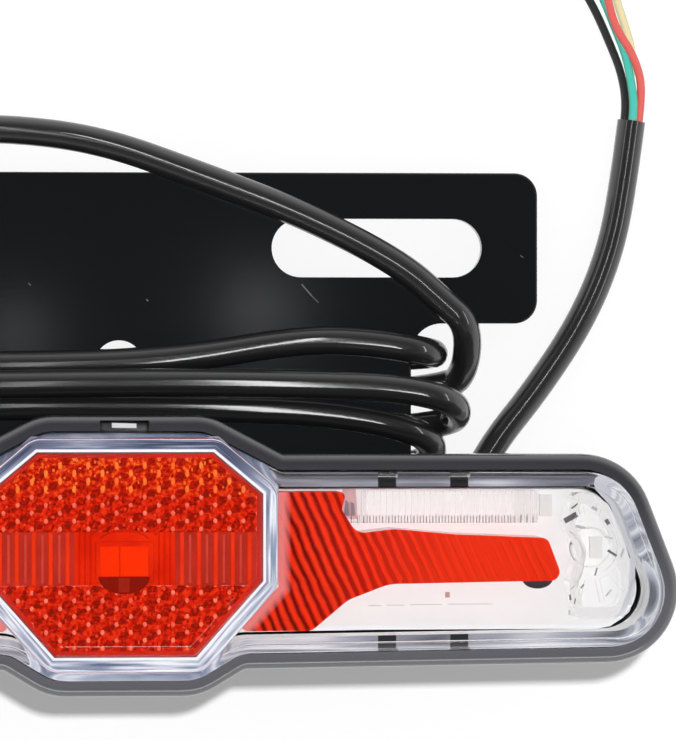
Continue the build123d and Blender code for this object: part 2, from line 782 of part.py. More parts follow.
with BuildPart() as capacitor:
    with BuildSketch(Plane((capacitor_shift, -capacitor_drop - light_drop, board_top_level))):
        Circle(capacitor_diameter / 2)
    extrude(amount=capacitor_height)
    fillet(faces().sort_by(Axis.Z)[-1].edges(), capacitor_edge_radius)
    groove_level = board_top_level + capacitor_groove_height
    with BuildSketch(Plane((capacitor_shift, -capacitor_drop - light_drop, groove_level))):
        Circle(capacitor_diameter / 2 + cut_overrun)
        Circle(capacitor_diameter / 2 - capacitor_groove_depth, mode=Mode.SUBTRACT)
    extrude(amount=capacitor_groove_height, mode=Mode.SUBTRACT)
capacitor.part.label = "capacitor"
export_step(capacitor.part, "parts/capacitor.step")

inductor_x, inductor_y = inductor_place
with BuildPart() as inductor:
    with BuildSketch(Plane((inductor_x, inductor_y - light_drop, board_top_level))):
        RectangleRounded(inductor_size, inductor_size, inductor_corner_radius)
    extrude(amount=inductor_height)
    with BuildSketch(Plane((inductor_x, inductor_y - light_drop, board_top_level + inductor_height))):
        Circle(inductor_drum_diameter / 2)
    extrude(amount=inductor_drum_height)
inductor.part.label = "inductor"
export_step(inductor.part, "parts/inductor.step")

with BuildPart() as diodes:
    with BuildSketch(Plane.XY.offset(board_top_level)):
        with Locations(*[(x, y - light_drop) for x, y in diode_places]):
            Rectangle(diode_length, diode_width)
    extrude(amount=diode_height)
    chamfer(faces().filter_by(Axis.Z).group_by(Axis.Z)[-1].edges(), diode_edge_chamfer)
diodes.part.label = "diodes"
export_step(diodes.part, "parts/diodes.step")

# Cable gland: a moulded strain relief with a flange on each side of the wall
gland_neck_length = gland_pad_reach + tray_wall + gland_wall_gap
gland_mouth = gland_outer_flange_thickness + gland_sleeve_length
with BuildPart() as cable_gland:
    with BuildSketch(gland_plane):
        Circle(gland_outer_flange_radius)
    extrude(amount=gland_outer_flange_thickness)
    with BuildSketch(gland_plane):
        Circle(gland_hole_radius - gland_neck_clearance)
    extrude(amount=-gland_neck_length)
    with BuildSketch(gland_plane.offset(-gland_neck_length)):
        Circle(gland_inner_flange_radius)
    extrude(amount=-gland_inner_flange_thickness)
    with BuildSketch(gland_plane.offset(gland_outer_flange_thickness)):
        Circle(gland_sleeve_radius)
    with BuildSketch(gland_plane.offset(gland_mouth)):
        Circle(gland_mouth_radius)
    loft()
    for groove in range(gland_groove_count):
        groove_start = gland_outer_flange_thickness + (groove + 1) * gland_groove_pitch
        with BuildSketch(gland_plane.offset(groove_start)):
            Circle(gland_outer_flange_radius)
            Circle(gland_mouth_radius - gland_groove_depth, mode=Mode.SUBTRACT)
        extrude(amount=gland_groove_width, mode=Mode.SUBTRACT)
cable_gland.part.label = "cable_gland"
export_step(cable_gland.part, "parts/cable_gland.step")


def run_arcs(points, share=route_arc_share):
    """Radius of each corner's arc: a share of its shorter run, over the tangent of half the turn."""
    radii = []
    for before, here, after in zip(points, points[1:], points[2:]):
        into = Vector(*here) - Vector(*before)
        out = Vector(*after) - Vector(*here)
        half_turn = math.radians(into.get_angle(out)) / 2
        radii.append(share * min(into.length, out.length) / math.tan(half_turn))
    return radii


def tube(points, radii, diameter):
    """A plain round tube along straight runs joined by arcs."""
    with BuildPart() as piece:
        with BuildLine() as route:
            FilletPolyline(*points, radius=radii)
        line = route.wire()
        with BuildSketch(Plane(origin=line @ 0, z_dir=line % 0)):
            Circle(diameter / 2)
        sweep()
    expected = math.pi * diameter**2 / 4 * line.length
    print(f"  length {line.length:.1f}, smallest arc {min(radii):.1f}", end=", ")
    print(f"volume over section times length {piece.part.volume / expected:.4f}")
    return piece.part, line


def least_gap(line, other, diameter, least_apart):
    """Least clear distance between two routes, or of one route to itself, from points along them."""

    def samples(curve):
        count = int(curve.length / path_sample_step)
        return [(curve.length * i / count, curve.position_at(i / count)) for i in range(count + 1)]

    here = samples(line)
    there = here if other is line else samples(other)
    gap = min(
        (a - b).length
        for s, a in here
        for t, b in there
        if other is not line or abs(s - t) > least_apart
    )
    return gap - diameter


# Cable route. The lead comes out of the gland, crosses the arm and ends where the turns begin.
strand_level = table_level + cable_diameter / 2
gland_exit = (-gland_half, gland_seat + gland_mouth, gland_level)
arm_strand = 4.5
lead_points = [
    gland_exit,
    (-54.0, -12.0, gland_level),
    (-52.3, -3.0, 6.0),
    (-46.8, 5.8, 5.0),
    (-37.6, 11.8, arm_strand),
    (-27.0, 14.9, arm_strand),
    (-15.4, 15.4, arm_strand),
    (-2.5, 13.9, arm_strand),
    (10.4, 9.3, arm_strand),
    (23.4, 4.5, arm_strand),
    (36.3, -2.0, arm_strand),
    (41.9, -6.98, arm_strand),
]
# The turns round the neck: for each, where it goes over the right edge, back under, and over the left
front_level = plate_thickness + cable_diameter / 2 + front_strand_gap
high_level = 7.6
turns = [
    {
        "over": [(45.1, -9.83, arm_strand), (45.4, -15.3, 0.8), (43.4, -18.7, strand_level)],
        "under": [(2.0, -20.6, strand_level), (-41.1, -18.4, strand_level)],
    },
    {
        "over": [(-41.1, -15.2, front_level), (-9.0, -15.3, front_level), (8.0, -14.5, front_level),
                 (23.4, -11.9, front_level), (32.4, -12.1, front_level), (41.1, -13.6, front_level),
                 (41.1, -13.9, strand_level)],
        "under": [(0.0, -16.4, strand_level), (-30.0, -13.9, strand_level), (-46.2, -13.8, strand_level)],
    },
    {
        "over": [(-46.2, -17.7, high_level), (-20.0, -17.8, high_level), (6.0, -17.4, high_level),
                 (25.0, -17.7, high_level), (36.3, -18.1, high_level), (43.9, -20.0, high_level),
                 (43.9, -23.6, strand_level)],
        "under": [(2.0, -24.8, strand_level), (-41.1, -23.4, strand_level)],
    },
    {
        "over": [(-41.1, -20.6, front_level), (-8.0, -20.5, front_level), (12.0, -20.7, front_level),
                 (28.0, -21.3, front_level), (40.9, -24.1, front_level), (40.9, -28.8, strand_level)],
        "under": [(21.0, -28.8, strand_level)],
    },
]
tail_points = [
    (21.0, -28.8, strand_level),
    (10.9, -28.8, strand_level),
    (3.7, -35.6, strand_level),
    (3.7, -45.4, strand_level),
    (10.9, -52.6, strand_level),
    (21.5, -53.4, strand_level),
    (31.6, -50.2, strand_level),
    (39.4, -43.6, strand_level),
    (44.5, -34.8, strand_level),
    (48.9, -26.0, strand_level),
    (55.2, -18.2, strand_level),
    (61.0, -9.4, strand_level),
    (64.6, -0.9, strand_level),
    (66.4, 7.6, strand_level),
    (67.6, 16.9, strand_level),
]


def winding_points():
    """The turns' points in order, from the end of the lead to the start of the tail."""
    points = [lead_points[-1]]
    for turn in turns:
        points.extend(turn["over"] + turn["under"])
    return points


def winding_arcs(points):
    """Arcs of the turns: two quarter turns at each edge of the neck, gentle ones between."""
    radii = []
    for index, radius in enumerate(run_arcs(points)):
        before, here, after = [Vector(*point) for point in points[index:index + 3]]
        into = here - before
        out = after - here
        steep = max(abs(into.Z), abs(out.Z)) > cable_diameter
        leg = min(into.length, out.length)
        half_turn = math.radians(into.get_angle(out)) / 2
        radii.append(flip_arc_share * leg / math.tan(half_turn) if steep else radius)
    return radii


print("cable_lead")
lead_part = tube(lead_points, run_arcs(lead_points), cable_diameter)[0]
lead_part.label = "cable_lead"
export_step(lead_part, "parts/cable_lead.step")
print("cable_turns")
turn_points = winding_points()
turns_part, turns_line = tube(turn_points, winding_arcs(turn_points), cable_diameter)
turns_part.label = "cable_turns"
export_step(turns_part, "parts/cable_turns.step")
print("cable_tail")
tail_part = tube(tail_points, run_arcs(tail_points), cable_diameter)[0]
tail_part.label = "cable_tail"
export_step(tail_part, "parts/cable_tail.step")
turns_gap = least_gap(turns_line, turns_line, cable_diameter, path_least_apart)
print("turns' least gap to themselves", round(turns_gap, 2))

# Wires out of the cut end of the cable, each with a stripped tip
wire_level = table_level + wire_diameter / 2 + wire_table_gap
wire_routes = {
    "black": [
        (66.66, 17.08, -3.75), (66.93, 19.12, -3.75), (66.40, 23.3, -4.6), (64.8, 27.4, wire_level),
        (63.0, 31.5, wire_level), (60.5, 35.8, wire_level), (58.4, 40.4, wire_level),
        (57.4, 45.4, wire_level), (57.5, 50.4, wire_level),
    ],
    "green": [
        (67.61, 16.96, -2.8), (67.88, 19.0, -2.8), (67.5, 22.4, -3.55), (66.9, 25.8, -4.4),
        (65.5, 29.4, wire_level), (64.0, 33.2, wire_level), (61.8, 37.2, wire_level),
        (60.9, 42.4, wire_level), (61.0, 47.4, wire_level), (61.8, 52.0, wire_level),
    ],
    "yellow": [
        (67.61, 16.96, -4.7), (67.88, 19.0, -4.7), (67.5, 22.4, wire_level), (68.0, 25.8, wire_level),
        (66.9, 29.6, wire_level), (65.6, 33.4, wire_level), (65.5, 37.8, wire_level),
        (66.6, 42.2, wire_level), (68.8, 46.4, wire_level), (71.6, 50.2, wire_level),
    ],
    "red": [
        (68.55, 16.84, -3.75), (68.82, 18.88, -3.75), (68.9, 22.4, -3.6), (67.6, 25.9, -3.3),
        (65.6, 28.8, -3.3), (64.5, 32.4, -3.5), (63.9, 36.8, -4.0), (63.4, 41.6, wire_level),
        (64.6, 46.2, wire_level), (66.4, 50.6, wire_level),
    ],
}
wire_lines = {}
for colour, points in wire_routes.items():
    print("wire_" + colour)
    wire_part, wire_lines[colour] = tube(points, run_arcs(points), wire_diameter)
    wire_part.label = "wire_" + colour
    export_step(wire_part, f"parts/wire_{colour}.step")
colours = list(wire_lines)
for index, colour in enumerate(colours):
    for other in colours[index + 1:]:
        gap = least_gap(wire_lines[colour], wire_lines[other], wire_diameter, 0)
        print(f"gap between {colour} and {other} wires {gap:.2f}")

with BuildPart() as wire_tips:
    for colour, line in wire_lines.items():
        with BuildSketch(Plane(origin=line @ 1, z_dir=line % 1)):
            Circle(wire_tip_diameter / 2)
        extrude(amount=wire_tip_length)
wire_tips.part.label = "wire_tips"
export_step(wire_tips.part, "parts/wire_tips.step")

# Leads from the gland up to the back of the board
lead_start = gland_seat - gland_neck_length - gland_inner_flange_thickness
with BuildPart() as inner_leads:
    for place in range(inner_lead_count):
        lead_x = -gland_half + (place - (inner_lead_count - 1) / 2) * inner_lead_spacing
        with BuildLine() as lead_route:
            FilletPolyline(
                (lead_x, lead_start, gland_level),
                (lead_x, lead_start - inner_lead_reach, gland_level),
                (lead_x, lead_start - inner_lead_reach, board_level),
                radius=inner_lead_radius,
            )
        with BuildSketch(Plane(origin=(lead_x, lead_start, gland_level), z_dir=(0, -1, 0))):
            Circle(wire_diameter / 2)
        sweep(path=lead_route.wire())
inner_leads.part.label = "inner_leads"
export_step(inner_leads.part, "parts/inner_leads.step")
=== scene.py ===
"""Rear light for a bicycle rack, lying on its back on a white table, with its cable wound round the neck of its bracket."""

import json
import math
import random

import bmesh
import bpy
from mathutils import Matrix, Vector


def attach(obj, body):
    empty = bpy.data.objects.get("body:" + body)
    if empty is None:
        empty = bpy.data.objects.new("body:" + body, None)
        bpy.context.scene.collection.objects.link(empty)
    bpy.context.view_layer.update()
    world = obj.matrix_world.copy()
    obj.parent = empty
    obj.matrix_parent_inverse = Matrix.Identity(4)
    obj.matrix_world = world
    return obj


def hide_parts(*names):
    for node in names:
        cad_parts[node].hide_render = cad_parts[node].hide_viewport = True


MM = 0.001
LIGHT_Y = -39.1
BAND_TOP = 2.85
BAND_BOTTOM = -3.9
OCTAGON_SIDES = [
    ((0.0, 12.7), (0.0, 1.0)), ((0.0, -12.6), (0.0, -1.0)),
    ((17.1, 0.0), (1.0, 0.0)), ((-17.1, 0.0), (-1.0, 0.0)),
    ((11.0, 12.7), (5.1, 6.1)), ((-11.0, 12.7), (-5.1, 6.1)),
    ((17.1, -3.2), (9.4, -8.3)), ((-17.1, -3.2), (-9.4, -8.3)),
]

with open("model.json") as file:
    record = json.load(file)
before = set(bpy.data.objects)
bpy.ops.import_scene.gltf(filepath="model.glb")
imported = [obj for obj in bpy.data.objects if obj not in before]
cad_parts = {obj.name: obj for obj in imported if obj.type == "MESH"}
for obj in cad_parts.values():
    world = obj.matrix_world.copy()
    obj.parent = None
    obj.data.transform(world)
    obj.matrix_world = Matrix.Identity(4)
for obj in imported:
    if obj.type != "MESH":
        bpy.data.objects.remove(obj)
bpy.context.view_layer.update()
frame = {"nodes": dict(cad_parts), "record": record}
cad = frame["nodes"]


# Shared shader groups: each puts out a value that changes over the surface.


def group_with(name, inputs, outputs):
    """An empty shader group with float inputs (name, default) and float outputs."""
    group = bpy.data.node_groups.new(name, "ShaderNodeTree")
    for label, default in inputs:
        socket = group.interface.new_socket(label, in_out="INPUT", socket_type="NodeSocketFloat")
        socket.default_value = default
    for label in outputs:
        group.interface.new_socket(label, in_out="OUTPUT", socket_type="NodeSocketFloat")
    return group, group.nodes.new("NodeGroupInput"), group.nodes.new("NodeGroupOutput")


def moulded_grain():
    """Fine grain of a moulded or painted skin: a height, and a roughness that drifts a little."""
    group, given, out = group_with(
        "moulded_grain",
        [("Scale", 900.0), ("Roughness", 0.3), ("Drift", 0.1)],
        ["Height", "Roughness"],
    )
    place = group.nodes.new("ShaderNodeTexCoord")
    fine = group.nodes.new("ShaderNodeTexNoise")
    fine.inputs["Detail"].default_value = 3.0
    broad = group.nodes.new("ShaderNodeTexNoise")
    broad.inputs["Scale"].default_value = 60.0
    broad.inputs["Detail"].default_value = 4.0
    centred = group.nodes.new("ShaderNodeMath")
    centred.operation = "SUBTRACT"
    centred.inputs[1].default_value = 0.5
    spread = group.nodes.new("ShaderNodeMath")
    spread.operation = "MULTIPLY_ADD"
    link = group.links.new
    link(place.outputs["Object"], fine.inputs["Vector"])
    link(place.outputs["Object"], broad.inputs["Vector"])
    link(given.outputs["Scale"], fine.inputs["Scale"])
    link(broad.outputs["Fac"], centred.inputs[0])
    link(centred.outputs[0], spread.inputs[0])
    link(given.outputs["Drift"], spread.inputs[1])
    link(given.outputs["Roughness"], spread.inputs[2])
    link(fine.outputs["Fac"], out.inputs["Height"])
    link(spread.outputs[0], out.inputs["Roughness"])
    return group


def hairline_marks():
    """Sparse short scratches and specks, as a mask from 0 to 1."""
    group, given, out = group_with("hairline_marks", [("Scale", 120.0), ("Amount", 0.08)], ["Mask"])
    place = group.nodes.new("ShaderNodeTexCoord")
    stretch = group.nodes.new("ShaderNodeMapping")
    stretch.inputs["Rotation"].default_value = (0.0, 0.0, 0.7)
    stretch.inputs["Scale"].default_value = (1.0, 9.0, 1.0)
    noise = group.nodes.new("ShaderNodeTexNoise")
    noise.inputs["Detail"].default_value = 2.0
    edge = group.nodes.new("ShaderNodeMath")
    edge.operation = "SUBTRACT"
    edge.inputs[0].default_value = 0.86
    keep = group.nodes.new("ShaderNodeMapRange")
    keep.inputs["To Min"].default_value = 0.0
    keep.inputs["To Max"].default_value = 1.0
    keep.inputs["From Max"].default_value = 0.9
    link = group.links.new
    link(place.outputs["Object"], stretch.inputs["Vector"])
    link(stretch.outputs["Vector"], noise.inputs["Vector"])
    link(given.outputs["Scale"], noise.inputs["Scale"])
    link(given.outputs["Amount"], edge.inputs[1])
    link(noise.outputs["Fac"], keep.inputs["Value"])
    link(edge.outputs[0], keep.inputs["From Min"])
    link(keep.outputs["Result"], out.inputs["Mask"])
    return group


def past_octagon():
    """How far a point lies outside the reflector's octagon, in millimetres, less than 0 inside it."""
    group, given, out = group_with("past_octagon", [("Mirror", 1.0)], ["Distance"])
    place = group.nodes.new("ShaderNodeTexCoord")
    apart = group.nodes.new("ShaderNodeSeparateXYZ")
    folded = group.nodes.new("ShaderNodeCombineXYZ")
    right = group.nodes.new("ShaderNodeMath")
    right.operation = "ABSOLUTE"
    link = group.links.new
    link(place.outputs["Object"], apart.inputs["Vector"])
    link(apart.outputs["X"], right.inputs[0])
    link(right.outputs[0], folded.inputs["X"])
    link(apart.outputs["Y"], folded.inputs["Y"])
    farthest = None
    for (u, v), (out_u, out_v) in OCTAGON_SIDES:
        if out_u < 0:
            continue
        away = Vector((out_u, out_v, 0.0)).normalized()
        edge = Vector((u, v + LIGHT_Y, 0.0)).dot(away)
        along = group.nodes.new("ShaderNodeVectorMath")
        along.operation = "DOT_PRODUCT"
        along.inputs[1].default_value = away / MM
        past = group.nodes.new("ShaderNodeMath")
        past.operation = "SUBTRACT"
        past.inputs[1].default_value = edge
        link(folded.outputs["Vector"], along.inputs[0])
        link(along.outputs["Value"], past.inputs[0])
        if farthest is None:
            farthest = past
            continue
        larger = group.nodes.new("ShaderNodeMath")
        larger.operation = "MAXIMUM"
        link(farthest.outputs[0], larger.inputs[0])
        link(past.outputs[0], larger.inputs[1])
        farthest = larger
    link(farthest.outputs[0], out.inputs["Distance"])
    return group


grain_group = moulded_grain()
octagon_group = past_octagon()
marks_group = hairline_marks()


# Finishes


def finish(name, colour, roughness, **sockets):
    """A new material: its name, colour and roughness, and plain values for other sockets."""
    made = bpy.data.materials.new(name)
    made.use_nodes = True
    shader = made.node_tree.nodes["Principled BSDF"]
    shader.inputs["Base Color"].default_value = (*colour, 1.0)
    shader.inputs["Roughness"].default_value = roughness
    for label, value in sockets.items():
        shader.inputs[label.replace("_", " ")].default_value = value
    return made, shader


def add_grain(made, shader, scale, roughness, drift, depth):
    """Moulded grain on a finish: its bump and its drifting roughness."""
    tree = made.node_tree
    grain = tree.nodes.new("ShaderNodeGroup")
    grain.node_tree = grain_group
    grain.inputs["Scale"].default_value = scale
    grain.inputs["Roughness"].default_value = roughness
    grain.inputs["Drift"].default_value = drift
    bump = tree.nodes.new("ShaderNodeBump")
    bump.inputs["Strength"].default_value = 1.0
    bump.inputs["Distance"].default_value = depth
    tree.links.new(grain.outputs["Height"], bump.inputs["Height"])
    tree.links.new(bump.outputs["Normal"], shader.inputs["Normal"])
    tree.links.new(grain.outputs["Roughness"], shader.inputs["Roughness"])


def add_marks(made, shader, plain, marked, scale, amount):
    """Scratches and specks that change a finish's colour."""
    tree = made.node_tree
    marks = tree.nodes.new("ShaderNodeGroup")
    marks.node_tree = marks_group
    marks.inputs["Scale"].default_value = scale
    marks.inputs["Amount"].default_value = amount
    mix = tree.nodes.new("ShaderNodeMix")
    mix.data_type = "RGBA"
    mix.inputs["A"].default_value = (*plain, 1.0)
    mix.inputs["B"].default_value = (*marked, 1.0)
    tree.links.new(marks.outputs["Mask"], mix.inputs["Factor"])
    tree.links.new(mix.outputs["Result"], shader.inputs["Base Color"])


def let_lamps_through(made, shader, tint):
    """Lets light from the lamps pass through a clear finish, so that what is behind it is lit."""
    tree = made.node_tree
    path = tree.nodes.new("ShaderNodeLightPath")
    open_air = tree.nodes.new("ShaderNodeBsdfTransparent")
    open_air.inputs["Color"].default_value = (*tint, 1.0)
    mix = tree.nodes.new("ShaderNodeMixShader")
    either = tree.nodes.new("ShaderNodeMath")
    either.operation = "MAXIMUM"
    tree.links.new(path.outputs["Is Shadow Ray"], either.inputs[0])
    tree.links.new(path.outputs["Is Diffuse Ray"], either.inputs[1])
    tree.links.new(either.outputs[0], mix.inputs["Fac"])
    tree.links.new(shader.outputs["BSDF"], mix.inputs[1])
    tree.links.new(open_air.outputs["BSDF"], mix.inputs[2])
    tree.links.new(mix.outputs["Shader"], tree.nodes["Material Output"].inputs["Surface"])


def ramp_of(tree, stops):
    """A colour ramp with stops (position, colour)."""
    ramp = tree.nodes.new("ShaderNodeValToRGB")
    marks = ramp.color_ramp.elements
    while len(marks) < len(stops):
        marks.new(0.5)
    for mark, (position, colour) in zip(marks, stops):
        mark.position = position
        mark.color = (*colour, 1.0)
    return ramp


def bracket_paint():
    made, shader = finish("bracket_paint", (0.009, 0.0095, 0.011), 0.08, Specular_IOR_Level=0.3)
    add_grain(made, shader, 1800.0, 0.08, 0.02, 0.000001)
    add_marks(made, shader, (0.009, 0.0095, 0.011), (0.04, 0.04, 0.045), 90.0, 0.10)
    return made


def zinc_steel():
    made, shader = finish("zinc_steel", (0.62, 0.62, 0.64), 0.32, Metallic=1.0)
    add_grain(made, shader, 2600.0, 0.34, 0.2, 0.000012)
    add_marks(made, shader, (0.60, 0.60, 0.62), (0.42, 0.42, 0.43), 150.0, 0.18)
    return made


def housing_plastic():
    made, shader = finish("housing_plastic", (0.016, 0.016, 0.018), 0.2, Specular_IOR_Level=1.0, Coat_Weight=0.6)
    add_grain(made, shader, 1500.0, 0.2, 0.08, 0.000004)
    add_marks(made, shader, (0.018, 0.018, 0.020), (0.045, 0.045, 0.05), 140.0, 0.08)
    tree = made.node_tree
    link = tree.links.new
    plain = shader.inputs["Base Color"].links[0].from_socket
    # The lip's top face is painted a paler grey, palest along the bottom edge: a painted sheen of the room on the
    # glossy lip.
    place = tree.nodes.new("ShaderNodeTexCoord")
    apart = tree.nodes.new("ShaderNodeSeparateXYZ")
    lip = tree.nodes.new("ShaderNodeMapRange")
    lip.inputs["From Min"].default_value = 19.6 * MM
    lip.inputs["From Max"].default_value = 20.5 * MM
    side = tree.nodes.new("ShaderNodeMapRange")
    side.inputs["From Min"].default_value = (LIGHT_Y - 6.0) * MM
    side.inputs["From Max"].default_value = (LIGHT_Y + 8.0) * MM
    tone = ramp_of(tree, [(0.0, (0.13, 0.13, 0.145)), (1.0, (0.045, 0.045, 0.052))])
    lip_sheen = tree.nodes.new("ShaderNodeMix")
    lip_sheen.data_type = "RGBA"
    link(place.outputs["Object"], apart.inputs["Vector"])
    link(apart.outputs["Z"], lip.inputs["Value"])
    link(apart.outputs["Y"], side.inputs["Value"])
    link(side.outputs["Result"], tone.inputs["Fac"])
    link(lip.outputs["Result"], lip_sheen.inputs["Factor"])
    link(plain, lip_sheen.inputs["A"])
    link(tone.outputs["Color"], lip_sheen.inputs["B"])
    link(lip_sheen.outputs["Result"], shader.inputs["Base Color"])
    return made


def near_places(tree, places, half_width):
    """A mask that is 1 where the distance from the middle of the light, along x, is near one of the places."""
    place = tree.nodes.new("ShaderNodeTexCoord")
    apart = tree.nodes.new("ShaderNodeSeparateXYZ")
    out = tree.nodes.new("ShaderNodeMath")
    out.operation = "ABSOLUTE"
    tree.links.new(place.outputs["Object"], apart.inputs["Vector"])
    tree.links.new(apart.outputs["X"], out.inputs[0])
    found = None
    for middle in places:
        near = tree.nodes.new("ShaderNodeMath")
        near.operation = "COMPARE"
        near.inputs[1].default_value = middle * MM
        near.inputs[2].default_value = half_width * MM
        tree.links.new(out.outputs[0], near.inputs[0])
        if found is None:
            found = near
        else:
            either = tree.nodes.new("ShaderNodeMath")
            either.operation = "MAXIMUM"
            tree.links.new(found.outputs[0], either.inputs[0])
            tree.links.new(near.outputs[0], either.inputs[1])
            found = either
    return found.outputs[0]


def seal_rubber():
    """Pale silicone seal, with pale and dark streaks along it painted as the clear rim's reflections, darkened along
    the top of the wings as a painted reflection of the bracket and cable above, and with painted shade at the snap
    teeth.
    """
    made, shader = finish("seal_rubber", (0.42, 0.44, 0.51), 0.35)
    add_grain(made, shader, 2000.0, 0.35, 0.1, 0.00001)
    tree = made.node_tree
    link = tree.links.new
    place = tree.nodes.new("ShaderNodeTexCoord")
    # Pale and dark streaks along the seal, turned round the tips: painted reflections of the clear rim.
    rim_streaks = []
    for scales in ((0.06, 1.0, 1.0), (1.0, 0.06, 1.0)):
        stretch = tree.nodes.new("ShaderNodeMapping")
        stretch.inputs["Scale"].default_value = scales
        streaks = tree.nodes.new("ShaderNodeTexNoise")
        streaks.inputs["Scale"].default_value = 900.0
        streaks.inputs["Detail"].default_value = 2.0
        link(place.outputs["Object"], stretch.inputs["Vector"])
        link(stretch.outputs["Vector"], streaks.inputs["Vector"])
        rim_streaks.append(streaks.outputs["Fac"])
    turned = tree.nodes.new("ShaderNodeMix")
    link(near_places(tree, (72.0,), 6.0), turned.inputs["Factor"])
    link(rim_streaks[0], turned.inputs["A"])
    link(rim_streaks[1], turned.inputs["B"])
    tint = ramp_of(tree, [(0.3, (0.16, 0.165, 0.20)), (0.5, (0.46, 0.48, 0.56)), (0.68, (0.92, 0.93, 0.97))])
    # Along the top of the wings the seal is darkened: a painted reflection of the dark bracket and cable above.
    apart = tree.nodes.new("ShaderNodeSeparateXYZ")
    shade = tree.nodes.new("ShaderNodeMapRange")
    shade.inputs["From Min"].default_value = (LIGHT_Y + 8.8) * MM
    shade.inputs["From Max"].default_value = (LIGHT_Y + 9.4) * MM
    over = tree.nodes.new("ShaderNodeMath")
    over.operation = "MULTIPLY"
    lower = tree.nodes.new("ShaderNodeMix")
    lower.data_type = "RGBA"
    lower.blend_type = "MULTIPLY"
    lower.inputs["B"].default_value = (0.24, 0.24, 0.27, 1.0)
    # Dark patches at the snap teeth: painted shade of the teeth.
    teeth_shade = tree.nodes.new("ShaderNodeMix")
    teeth_shade.data_type = "RGBA"
    teeth_shade.inputs["B"].default_value = (0.03, 0.03, 0.035, 1.0)
    link(turned.outputs["Result"], tint.inputs["Fac"])
    link(place.outputs["Object"], apart.inputs["Vector"])
    link(apart.outputs["Y"], shade.inputs["Value"])
    link(shade.outputs["Result"], over.inputs[0])
    link(near_places(tree, (48.0,), 29.0), over.inputs[1])
    link(over.outputs[0], lower.inputs["Factor"])
    link(tint.outputs["Color"], lower.inputs["A"])
    link(lower.outputs["Result"], teeth_shade.inputs["A"])
    link(near_places(tree, (33.4, 42.6), 1.15), teeth_shade.inputs["Factor"])
    link(teeth_shade.outputs["Result"], shader.inputs["Base Color"])
    return made


def clear_moulding(name, colour, roughness, bend=1.49):
    made, shader = finish(name, colour, roughness, Transmission_Weight=1.0, IOR=bend)
    tree = made.node_tree
    grain = tree.nodes.new("ShaderNodeGroup")
    grain.node_tree = grain_group
    grain.inputs["Scale"].default_value = 260.0
    bump = tree.nodes.new("ShaderNodeBump")
    bump.inputs["Strength"].default_value = 1.0
    bump.inputs["Distance"].default_value = 0.000004
    tree.links.new(grain.outputs["Height"], bump.inputs["Height"])
    tree.links.new(bump.outputs["Normal"], shader.inputs["Normal"])
    let_lamps_through(made, shader, (0.99, 0.99, 0.99))
    return made


def fluted_clear():
    """Clear light bar, with a dark tick at the lower edge of each flute: painted refraction."""
    made = clear_moulding("fluted_clear", (1.0, 1.0, 1.0), 0.02, 1.015)
    tree = made.node_tree
    shader = tree.nodes["Principled BSDF"]
    place = tree.nodes.new("ShaderNodeTexCoord")
    apart = tree.nodes.new("ShaderNodeSeparateXYZ")
    steps = tree.nodes.new("ShaderNodeMath")
    steps.operation = "PINGPONG"
    steps.inputs[1].default_value = 0.4 * MM
    line = tree.nodes.new("ShaderNodeMath")
    line.operation = "LESS_THAN"
    line.inputs[1].default_value = 0.07 * MM
    low = tree.nodes.new("ShaderNodeMapRange")
    low.inputs["From Min"].default_value = (LIGHT_Y + 4.9) * MM
    low.inputs["From Max"].default_value = (LIGHT_Y + 4.6) * MM
    low.inputs["To Min"].default_value = 0.0
    low.inputs["To Max"].default_value = 1.0
    # A dark tick at the lower edge of each flute, on its upward faces: painted refraction against the board.
    drawn = tree.nodes.new("ShaderNodeMath")
    drawn.operation = "MULTIPLY"
    mix = tree.nodes.new("ShaderNodeMix")
    mix.data_type = "RGBA"
    mix.inputs["A"].default_value = (1.0, 1.0, 1.0, 1.0)
    mix.inputs["B"].default_value = (0.12, 0.11, 0.12, 1.0)
    link = tree.links.new
    link(place.outputs["Object"], apart.inputs["Vector"])
    link(apart.outputs["X"], steps.inputs[0])
    link(steps.outputs[0], line.inputs[0])
    link(apart.outputs["Y"], low.inputs["Value"])
    facing = tree.nodes.new("ShaderNodeSeparateXYZ")
    upward = tree.nodes.new("ShaderNodeMath")
    upward.operation = "GREATER_THAN"
    upward.inputs[1].default_value = 0.6
    above = tree.nodes.new("ShaderNodeMath")
    above.operation = "MULTIPLY"
    link(place.outputs["Normal"], facing.inputs["Vector"])
    link(facing.outputs["Z"], upward.inputs[0])
    link(upward.outputs[0], above.inputs[0])
    link(line.outputs[0], above.inputs[1])
    link(above.outputs[0], drawn.inputs[0])
    link(low.outputs["Result"], drawn.inputs[1])
    link(drawn.outputs[0], mix.inputs["Factor"])
    link(mix.outputs["Result"], shader.inputs["Base Color"])
    return made


def slanted_bands():
    """Stripes across a moulding, slanting like its ribs, as a value from 0 to 1."""
    group, given, out = group_with("slanted_bands", [("Scale", 250.0), ("Slant", 0.45), ("Wander", 2.0)], ["Value"])
    place = group.nodes.new("ShaderNodeTexCoord")
    turn = group.nodes.new("ShaderNodeVectorRotate")
    turn.rotation_type = "Z_AXIS"
    bands = group.nodes.new("ShaderNodeTexWave")
    bands.inputs["Detail"].default_value = 2.0
    bands.inputs["Detail Scale"].default_value = 1.2
    link = group.links.new
    link(place.outputs["Object"], turn.inputs["Vector"])
    link(given.outputs["Slant"], turn.inputs["Angle"])
    link(turn.outputs["Vector"], bands.inputs["Vector"])
    link(given.outputs["Scale"], bands.inputs["Scale"])
    link(given.outputs["Wander"], bands.inputs["Distortion"])
    link(bands.outputs["Fac"], out.inputs["Value"])
    return group


bands_group = slanted_bands()


